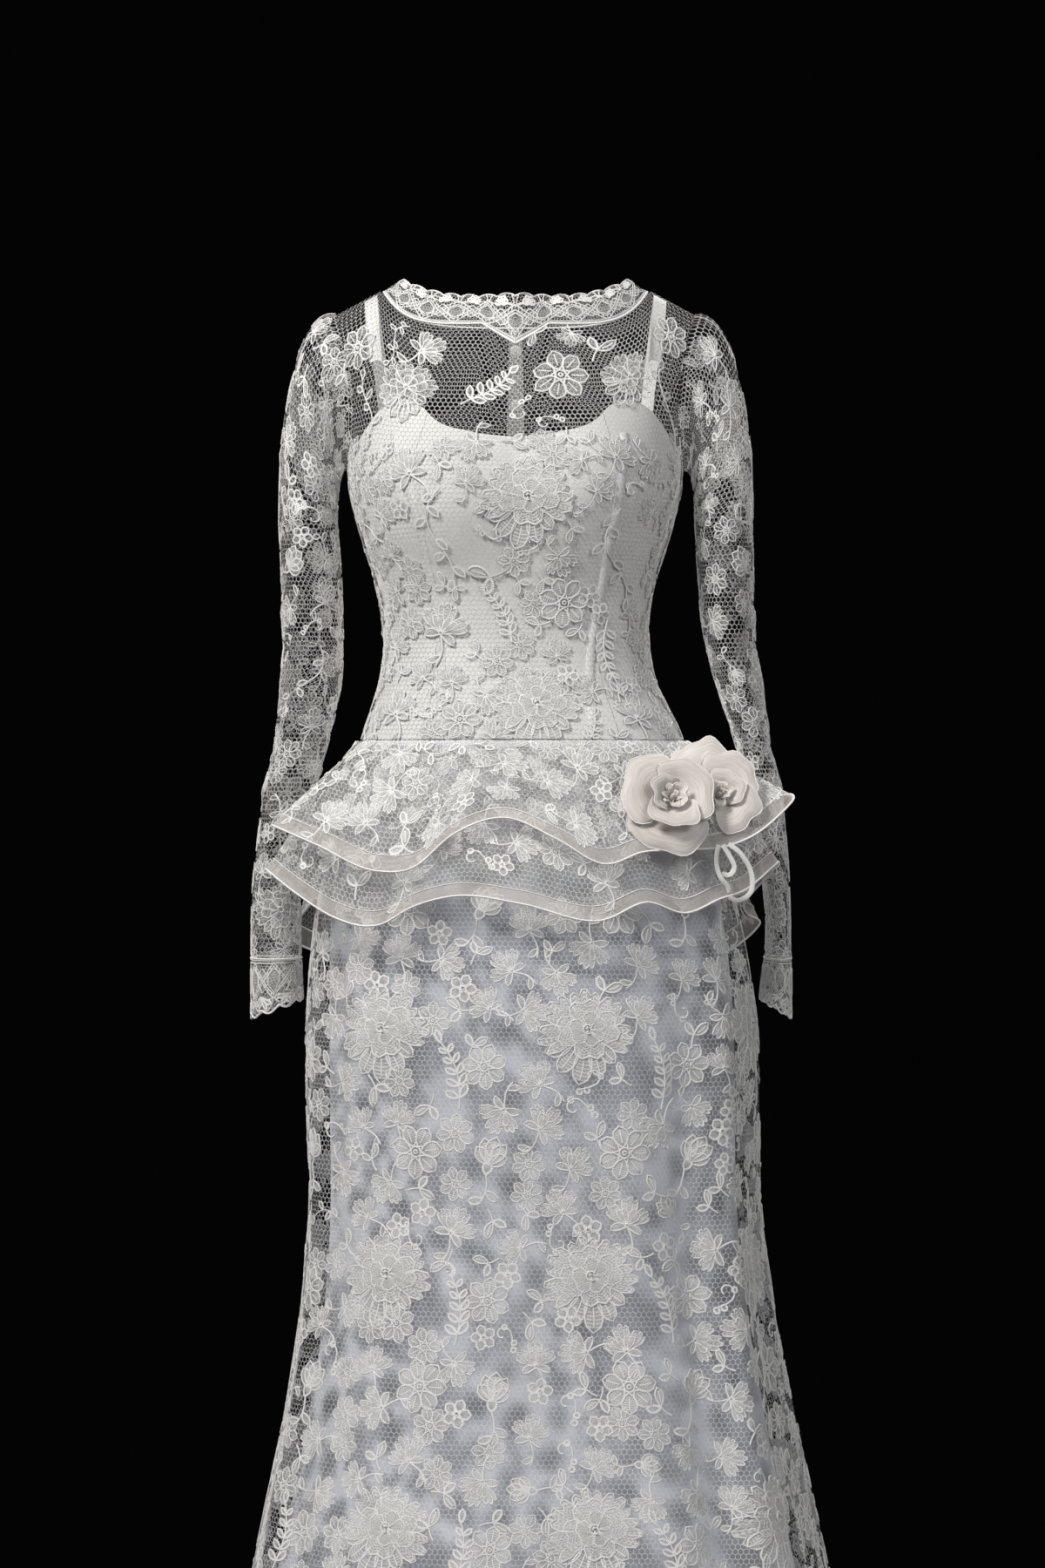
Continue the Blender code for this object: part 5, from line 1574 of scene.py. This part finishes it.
def build_skirts(rng):
    """Slip skirt and lace overskirt."""
    for part, low, high in (("front", -90, 90), ("back_right", -180, -90), ("back_left", 90, 180)):
        slip = skirt_cloth(lining_skirt_point, low, high, LINING_HEM_Z, SLIP_AT, 0.018, 0.020)
        slip.crease(SLIP_CREASES)
        name = f"lining_skirt_{part}"
        # The skirt's slip takes the crepe with painted cool light
        declare(sheet_piece(name, slip, [MATERIALS["skirt_slip_cool_light"]]))
        name = f"lace_skirt_{part}"
        lace = skirt_cloth(lace_skirt_point, low, high, LACE_HEM_Z, LACE_AT, 0.0080, 0.0090)
        lace.crease(SKIRT_CREASES)
        places = repeats(lace, 0.0 if part == "front" else 0.05, 0.0, SKIRT_COVER)
        places = scatter(lace, places, rng, density=0.95 if part == "front" else 0.36, high=SKIRT_COVER)
        half = lace.v[-1] / 2
        motifs = [
            motif_piece(f"{name}_low", lace, [p for p in places if p[2] < half], lift=0.0),
            motif_piece(f"{name}_high", lace, [p for p in places if p[2] >= half], lift=0.0),
        ]
        piece = sheet_piece(name, lace, [MATERIALS["net"]])
        hem = tube_piece(f"{name}_hem_cord", lace.points[0], HEM_CORD_RADIUS, MATERIALS["roll"])
        declare(piece)


def build_peplum(rng):
    """Two wavy tiers of lace with sheer organza hems and a rolled edge."""
    for tier in TIER_LAYERS:
        for part, low, high in (("front", -90, 90), ("back_right", -180, -90), ("back_left", 90, 180)):
            name = f"peplum_{tier}_{part}"
            count = int((high - low) * 0.9)
            shares = np.linspace(1, 0, 26)
            angles = np.tile(np.radians(np.linspace(low, high, count + 1)), (len(shares), 1))
            draw_in = SEAM_GAP / 2 / smooth(np.array([TIER_TOP_Z]), BODY["z"], BODY["front"])
            angles[:, 0] += draw_in
            angles[:, -1] -= draw_in
            lines = np.tile(shares[:, None], (1, count + 1))
            points = tier_point(angles, lines, tier)
            cloth = Cloth(points)
            cloth.points = cloth.points + cloth.normals * CLOTH * 0.5
            cloth.refresh()
            hem_rows = int(np.searchsorted(cloth.v, 0.012))
            slots = np.repeat((np.arange(len(shares) - 1) < hem_rows).astype(int), count)
            density = 1.3 if part == "front" else 0.45
            places = scatter(cloth, [], rng, density, low=0.20, high=0.98, shrink=0.95)
            nets = [MATERIALS["tier_net"], MATERIALS["hem_organza"]]
            piece = sheet_piece(name, cloth, nets, slots=slots)
            motifs = motif_piece(name, cloth, places, lift=0.0)
            roll = tube_piece(f"{name}_roll", cloth.points[0], EDGE_RADIUS, MATERIALS["roll"])
            join_line = cloth.points[hem_rows] + cloth.normals[hem_rows] * JOIN_LIFT
            join = tube_piece(f"{name}_join", join_line, RIM_RADIUS, MATERIALS["roll"], RIM_SIDES)
            declare(piece)


def sleeve_points(side, sign):
    """Dense closed rings of a sleeve, from the cuff seam up to the armhole."""
    fine = 4
    saved = YOKE_SHARES
    index = np.linspace(0, len(saved) - 1, (len(saved) - 1) * fine + 1)
    shares = np.interp(index, np.arange(len(saved)), saved)
    start = armhole_ring(sign, shares)
    steps = len(start)
    end = sleeve_ring(side, SLEEVE_Z[0], steps)
    reach = np.linalg.norm(end - start, axis=-1, keepdims=True)
    leave = start + reach * HEAD_LEAVE * np.array([sign, 0, HEAD_LIFT])
    arrive = end + reach * HEAD_ARRIVE * np.array([0, 0, 1.0])
    rows = []
    for t in np.linspace(0, 1, 26)[:-1]:
        rest = 1 - t
        near = rest ** 3 * start + 3 * rest ** 2 * t * leave
        far = 3 * rest * t ** 2 * arrive + t ** 3 * end
        rows.append(near + far)
    rows += [sleeve_ring(side, z, steps) for z in fine_rows(SLEEVE_END_Z, SLEEVE_Z[0], 0.005)[::-1]]
    rings = np.array(rows[::-1])
    return np.concatenate([rings, rings[:, :1]], axis=1)


def build_sleeves(rng):
    """Sheer lace sleeves with elbow creases, and their scalloped cuffs."""
    for side, sign in (("right", -1), ("left", 1)):
        name = f"sleeve_{side}"
        cloth = Cloth(sleeve_points(side, sign), sign, closed=True)
        lift = cloth.normals * CLOTH * 0.6
        cloth.points = cloth.points + lift
        cloth.refresh()
        cloth.crease(SLEEVE_CREASES)
        length = cloth.v[-1]
        places = []
        for index, share in enumerate((0.08, 0.27, 0.46, 0.66, 0.86)):
            kind = ("rose", "daisy", "rose", "bud", "rose")[index]
            u = (-0.055, 0.045, 0.020, -0.040, 0.050)[index]
            places.append((kind, u, share * length, 20 * index, (0.66, 0.95, 0.70, 0.95, 0.66)[index]))
        places = scatter(cloth, places, rng, density=1.05, shrink=0.85)
        piece = sheet_piece(name, cloth, [MATERIALS["net"]])
        motifs = motif_piece(name, cloth, places, lift=0.0, bare_above=CUFF_OUTER_Z)
        declare(piece)
        build_cuff(side, sign)


def lattice(name, cloth, spacing):
    """Edging lattice: crossed cords in diamonds with a small worked square in each."""
    motif = Pattern()
    length = cloth.v[-1]
    row = cloth.u[len(cloth.u) // 2]
    count = max(2, int(round(np.ptp(row) / spacing)))
    step = np.ptp(row) / count
    for index in range(count):
        left = row[0] + index * step
        foot, crown = 0.10 * length, 0.74 * length
        middle = (foot + crown) / 2
        for start, end in (((0, foot), (step, crown)), ((0, crown), (step, foot))):
            t = np.linspace(0, 1, 9)[:, None]
            line = (1 - t) * np.array(start) + t * np.array(end) + np.array([left, 0])
            for shift in (-LADDER_HALF, LADDER_HALF):
                motif.cord(line + np.array([0, shift]), 0.0008, rise=0.0005)
            for place in line:
                rung = place + np.array([[0, -LADDER_HALF], [0, LADDER_HALF]])
                motif.cord(rung, 0.0007, rise=0.0003)
        half = (crown - foot) / 2 - 2.2 * LADDER_HALF
        for dx, dy in ((0.5, half), (0.0, half)):
            centre = np.array([left + step * dx, middle + dy])
            motif.petal(centre, -math.pi / 2, 2 * half, step * 0.60, steps=6, power=0.95, cord=0.0006)
        crest = np.array([left + step / 2, crown])
        for turn in (25, 65, 115, 155):
            motif.petal(crest, math.radians(turn), length * 0.22, step * 0.15, steps=5, power=0.5)
        motif.cord(arc_line(crest, step * 0.46, 0, math.pi, 10), 0.0010, rise=0.0008)
    for level in (0.03 * length, 0.08 * length, 0.75 * length):
        t = np.linspace(row[0], row[-1], count * 8)
        motif.cord(np.stack([t, level + 0 * t], axis=-1), 0.0009, rise=0.0006)
    drawn = motif.join()
    flat = drawn["flat"]
    r = np.interp(flat[:, 1], cloth.v, np.arange(len(cloth.v)))
    c = np.interp(flat[:, 0], row, np.arange(len(row)))
    points, normals = cloth.sample(r, c)
    verts = points + normals * drawn["height"][:, None]
    materials = [MATERIALS["sheer_fill"], MATERIALS["cord"]]
    piece = make_mesh(f"{name}_lattice", verts, drawn["faces"], drawn["uv"], drawn["slots"], materials)
    return settle(piece, None)


def build_cuff(side, sign):
    """Scalloped lattice edging below a sleeve, its crown at the hand."""
    steps = CUFF_SCALLOPS * 12
    turn = np.arange(steps) * 2 * math.pi / steps
    hem = CUFF_INNER_Z + (CUFF_OUTER_Z - CUFF_INNER_Z) * (1 - np.cos(turn)) / 2
    hem = hem - CUFF_SCALLOP * np.abs(np.sin(turn * CUFF_SCALLOPS / 2))
    rows = []
    for share in np.linspace(0, 1, 12):
        ring = sleeve_ring(side, SLEEVE_END_Z + (CUFF_READ_Z - SLEEVE_END_Z) * share, steps)
        top = SLEEVE_END_Z - SEAM_GAP
        ring[:, 2] = top + (hem - top) * share
        rows.append(ring)
    rings = np.array(rows)
    name = f"cuff_edging_{side}"
    cloth = Cloth(np.concatenate([rings, rings[:, :1]], axis=1), -sign, closed=True)
    cloth.points = cloth.points + cloth.normals * CLOTH * 0.6
    cloth.refresh()
    piece = sheet_piece(name, cloth, [MATERIALS["edge_net"]])
    drawn = lattice(name, cloth, CUFF_LATTICE_CELL)
    hem_line = cloth.points[-1] + cloth.normals[-1] * JOIN_LIFT
    hem_cord = tube_piece(f"{name}_hem_cord", hem_line, CUFF_CORD_RADIUS, MATERIALS["roll"])
    seam_line = cloth.points[0] + cloth.normals[0] * SEAM_CORD_LIFT
    seam_cord = tube_piece(f"{name}_seam_cord", seam_line, CUFF_CORD_RADIUS, MATERIALS["roll"])
    declare(piece)


def build_neck_edging():
    """Scalloped lattice band standing round the neckline, with a pointed foot in front."""
    for name, side, low, high in (
        ("neck_edging_front", 1, -BAND_END, BAND_END),
        ("neck_edging_back_right", -1, -BAND_END, -SEAM_ANGLE),
        ("neck_edging_back_left", -1, SEAM_ANGLE, BAND_END),
    ):
        count = int((high - low) * 120)
        place = np.linspace(low, high, count + 1)
        grid = np.radians(np.linspace(0, 90, 181) if side > 0 else np.linspace(180, 90, 181))
        points, normals = with_normals(bodice_surface(side), grid, np.full(181, 1.0))
        away = np.abs(place) * NECK_X
        foot = np.stack([np.interp(away, points[:, 0], points[:, k]) for k in range(3)], axis=-1)
        out = np.stack([np.interp(away, points[:, 0], normals[:, k]) for k in range(3)], axis=-1)
        foot[:, 0] *= np.sign(place)
        out[:, 0] *= np.sign(place)
        inside = np.abs(place)
        crest = BAND_FRONT_Z if side > 0 else BAND_BACK_Z
        top_z = crest + (BAND_SIDE_Z - crest) * inside ** BAND_CURVE
        top_z = top_z + BAND_SCALLOP * np.abs(np.sin(place * math.pi * 6.5)) ** 0.7
        top_y = foot[:, 1] + side * BAND_LEAN * np.sqrt(1 - inside ** 2)
        crown = np.stack([NECK_X * place * BAND_NECK_X / NECK_X, top_y, top_z], axis=-1)
        rows = []
        for share in np.linspace(0, 1, 12):
            row = foot + (crown - foot) * share + out * LACE_AT
            row[:, 1] -= side * BAND_BOW * math.sin(math.pi * share)
            rows.append(row)
        cloth = Cloth(np.array(rows), side)
        piece = sheet_piece(name, cloth, [MATERIALS["edge_net"]])
        drawn = [lattice(name, cloth, NECK_LATTICE_CELL)] if side > 0 else []
        roll = MATERIALS["roll"]
        crown_cord = tube_piece(f"{name}_crown_cord", cloth.points[-1], EDGE_RADIUS, roll)
        foot_line = cloth.points[0] + cloth.normals[0] * SEAM_CORD_LIFT
        foot_cord = tube_piece(f"{name}_foot_cord", foot_line, EDGE_RADIUS, roll)
        declare(piece)


def petal_cloth(row, shell, matrix, seed):
    """Ruffled petal in the dress's space."""
    turns = np.linspace(-1, 1, 25)
    tip = np.clip(1 - np.abs(turns) ** PETAL_TIP_POWER, 0, 1) ** 0.5
    tip = tip * (1 - PETAL_SIDE_LENGTH) + PETAL_SIDE_LENGTH
    rows = []
    for share in np.linspace(0, 1, 18):
        cup = np.radians(row["cup"] + PETAL_OPEN * (share * tip) ** 2)
        wave = (
            0.0020 * share ** 3 * np.sin(turns * 7.0 + seed * 2.4)
            + 0.0012 * share ** 2 * np.sin(turns * 13 + seed)
        )
        reach = row["length"] * share * tip
        radius = PETAL_ROOT + PETAL_STEP * shell + reach * np.sin(cup) + wave + 0.0006
        angle = np.radians(row["turn"] + row["spread"] * turns)
        height = reach * np.cos(cup) - PETAL_SINK * shell - 0.0016 * share ** 6
        rows.append(np.stack([radius * np.cos(angle), radius * np.sin(angle), height], axis=-1))
    local = np.array(rows)
    world = np.array([[matrix @ Vector(p) for p in line] for line in local])
    return Cloth(world)


def build_roses():
    """Organza roses: ruffled petals with rolled rims round a tufted heart."""
    for name, place in ROSE_PLACES.items():
        matrix, _ = rose_frame(place)
        for shell, values in enumerate(place["rows"]):
            row = dict(zip(PETAL_COLUMNS, values))
            cloth = petal_cloth(row, shell, matrix, shell + (3 if name == "rose_back" else 0))
            node = f"{name}_petal_{shell + 1}"
            piece = sheet_piece(node, cloth, [MATERIALS["organza"]])
            rim_line, roll = cloth.points[-1], MATERIALS["roll"]
            rim = tube_piece(f"{node}_rim", rim_line, RIM_RADIUS, roll, RIM_SIDES)
            declare(piece)
        for index in range(4):
            row = {"length": 0.0120 + 0.0008 * index, "cup": 5 + 5 * index, "spread": 96, "turn": index * 137}
            cloth = petal_cloth(row, -0.9 + 0.25 * index, matrix, index + 9)
            piece = settle(
                make_mesh(
                    f"{name}_tuft_{index + 1}", cloth.points.reshape(-1, 3),
                    grid_faces(*cloth.points.shape[:2]), flat_uvs(cloth), 0, [MATERIALS["organza"]],
                ),
                None,
            )
            declare(piece)
        for node in (f"{name}_stem", f"{name}_heart"):
            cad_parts[node].material_slots[0].material = MATERIALS["organza"]


def build_ribbons():
    """Ribbon loops: narrow bands that turn a little as they hang."""
    for index in range(len(RIBBON_LOOPS)):
        node = f"ribbon_loop_{index + 1}"
        low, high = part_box(node)
        knot_angle = np.array([math.radians(RIBBON_KNOT_ANGLE)])
        knot = tier_point(knot_angle, np.array([RIBBON_KNOT_SHARE]), "upper")[0]
        line, side = ribbon_line(index, knot[0], knot[2])
        at = np.linspace(0, 1, 49)
        knots = np.linspace(0, 1, len(line))
        fine = np.stack([smooth(at, knots, line[:, k]) for k in range(3)], axis=-1)
        edge = np.stack([smooth(at, knots, side[:, k]) for k in range(3)], axis=-1)
        fine[:, 1] = (low[1] + high[1]) / 2 - 0.0020 * np.sin(at * math.pi)
        tilt = np.sin(at * 2 * math.pi + index) * 0.0012
        rows = []
        for share in (-1, -0.5, 0, 0.5, 1):
            row = fine + edge * share
            row[:, 1] += tilt * share - 0.0003 * (1 - share ** 2)
            rows.append(row)
        cloth = Cloth(np.stack(rows, axis=1))
        sheet_piece(node, cloth, [MATERIALS["satin"]])


def build_closure():
    """Sheer placket and satin buttons on their own solids."""
    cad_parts["back_placket"].material_slots[0].material = MATERIALS["placket"]
    for index in range(BUTTON_COUNT):
        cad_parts[f"back_button_{index + 1}"].material_slots[0].material = MATERIALS["satin"]


def add_light(name, place, size, power, colour):
    """Large soft lamp aimed at the bodice."""
    lamp = bpy.data.lights.new(name, "AREA")
    lamp.shape = "DISK"
    lamp.size = size
    lamp.energy = power
    lamp.color = colour
    item = bpy.data.objects.new(name, lamp)
    item.location = place
    item.rotation_mode = "QUATERNION"
    item.rotation_quaternion = (Vector((0, 0, -0.55)) - Vector(place)).to_track_quat("-Z", "Y")
    bpy.context.scene.collection.objects.link(item)


def build_studio():
    """Pale floor, soft lamps, plain dark surround and the camera."""
    turn = np.arange(FLOOR_SIDES) * 2 * math.pi / FLOOR_SIDES
    verts = [(FLOOR_RADIUS * math.cos(a), FLOOR_RADIUS * math.sin(a), FLOOR_Z) for a in turn]
    mesh = bpy.data.meshes.new("floor")
    mesh.from_pydata(verts, [], [list(range(FLOOR_SIDES))])
    mesh.materials.append(floor_material())
    floor = bpy.data.objects.new("floor", mesh)
    bpy.context.scene.collection.objects.link(floor)
    for lamp in LAMPS:
        add_light(*lamp)
    world = bpy.data.worlds.new("surround")
    world.use_nodes = True
    world.node_tree.nodes["Background"].inputs[0].default_value = SURROUND
    world.node_tree.nodes["Background"].inputs[1].default_value = 1.0
    bpy.context.scene.world = world
    data = bpy.data.cameras.new("camera")
    data.sensor_width = 36
    data.lens = data.sensor_width / FRAME_HEIGHT * abs(CAMERA_Y)
    camera = bpy.data.objects.new("camera", data)
    camera.location = (CAMERA_X, CAMERA_Y, CAMERA_Z)
    camera.rotation_euler = (math.pi / 2, 0, 0)
    bpy.context.scene.collection.objects.link(camera)
    bpy.context.scene.camera = camera
    bpy.context.scene.view_settings.view_transform = "Standard"


def main():
    rng = np.random.default_rng(SEED)
    build_slip_bodice()
    build_straps()
    build_lace_bodice(rng)
    build_skirts(rng)
    build_peplum(rng)
    build_sleeves(rng)
    build_neck_edging()
    build_roses()
    build_ribbons()
    build_closure()
    build_studio()


main()
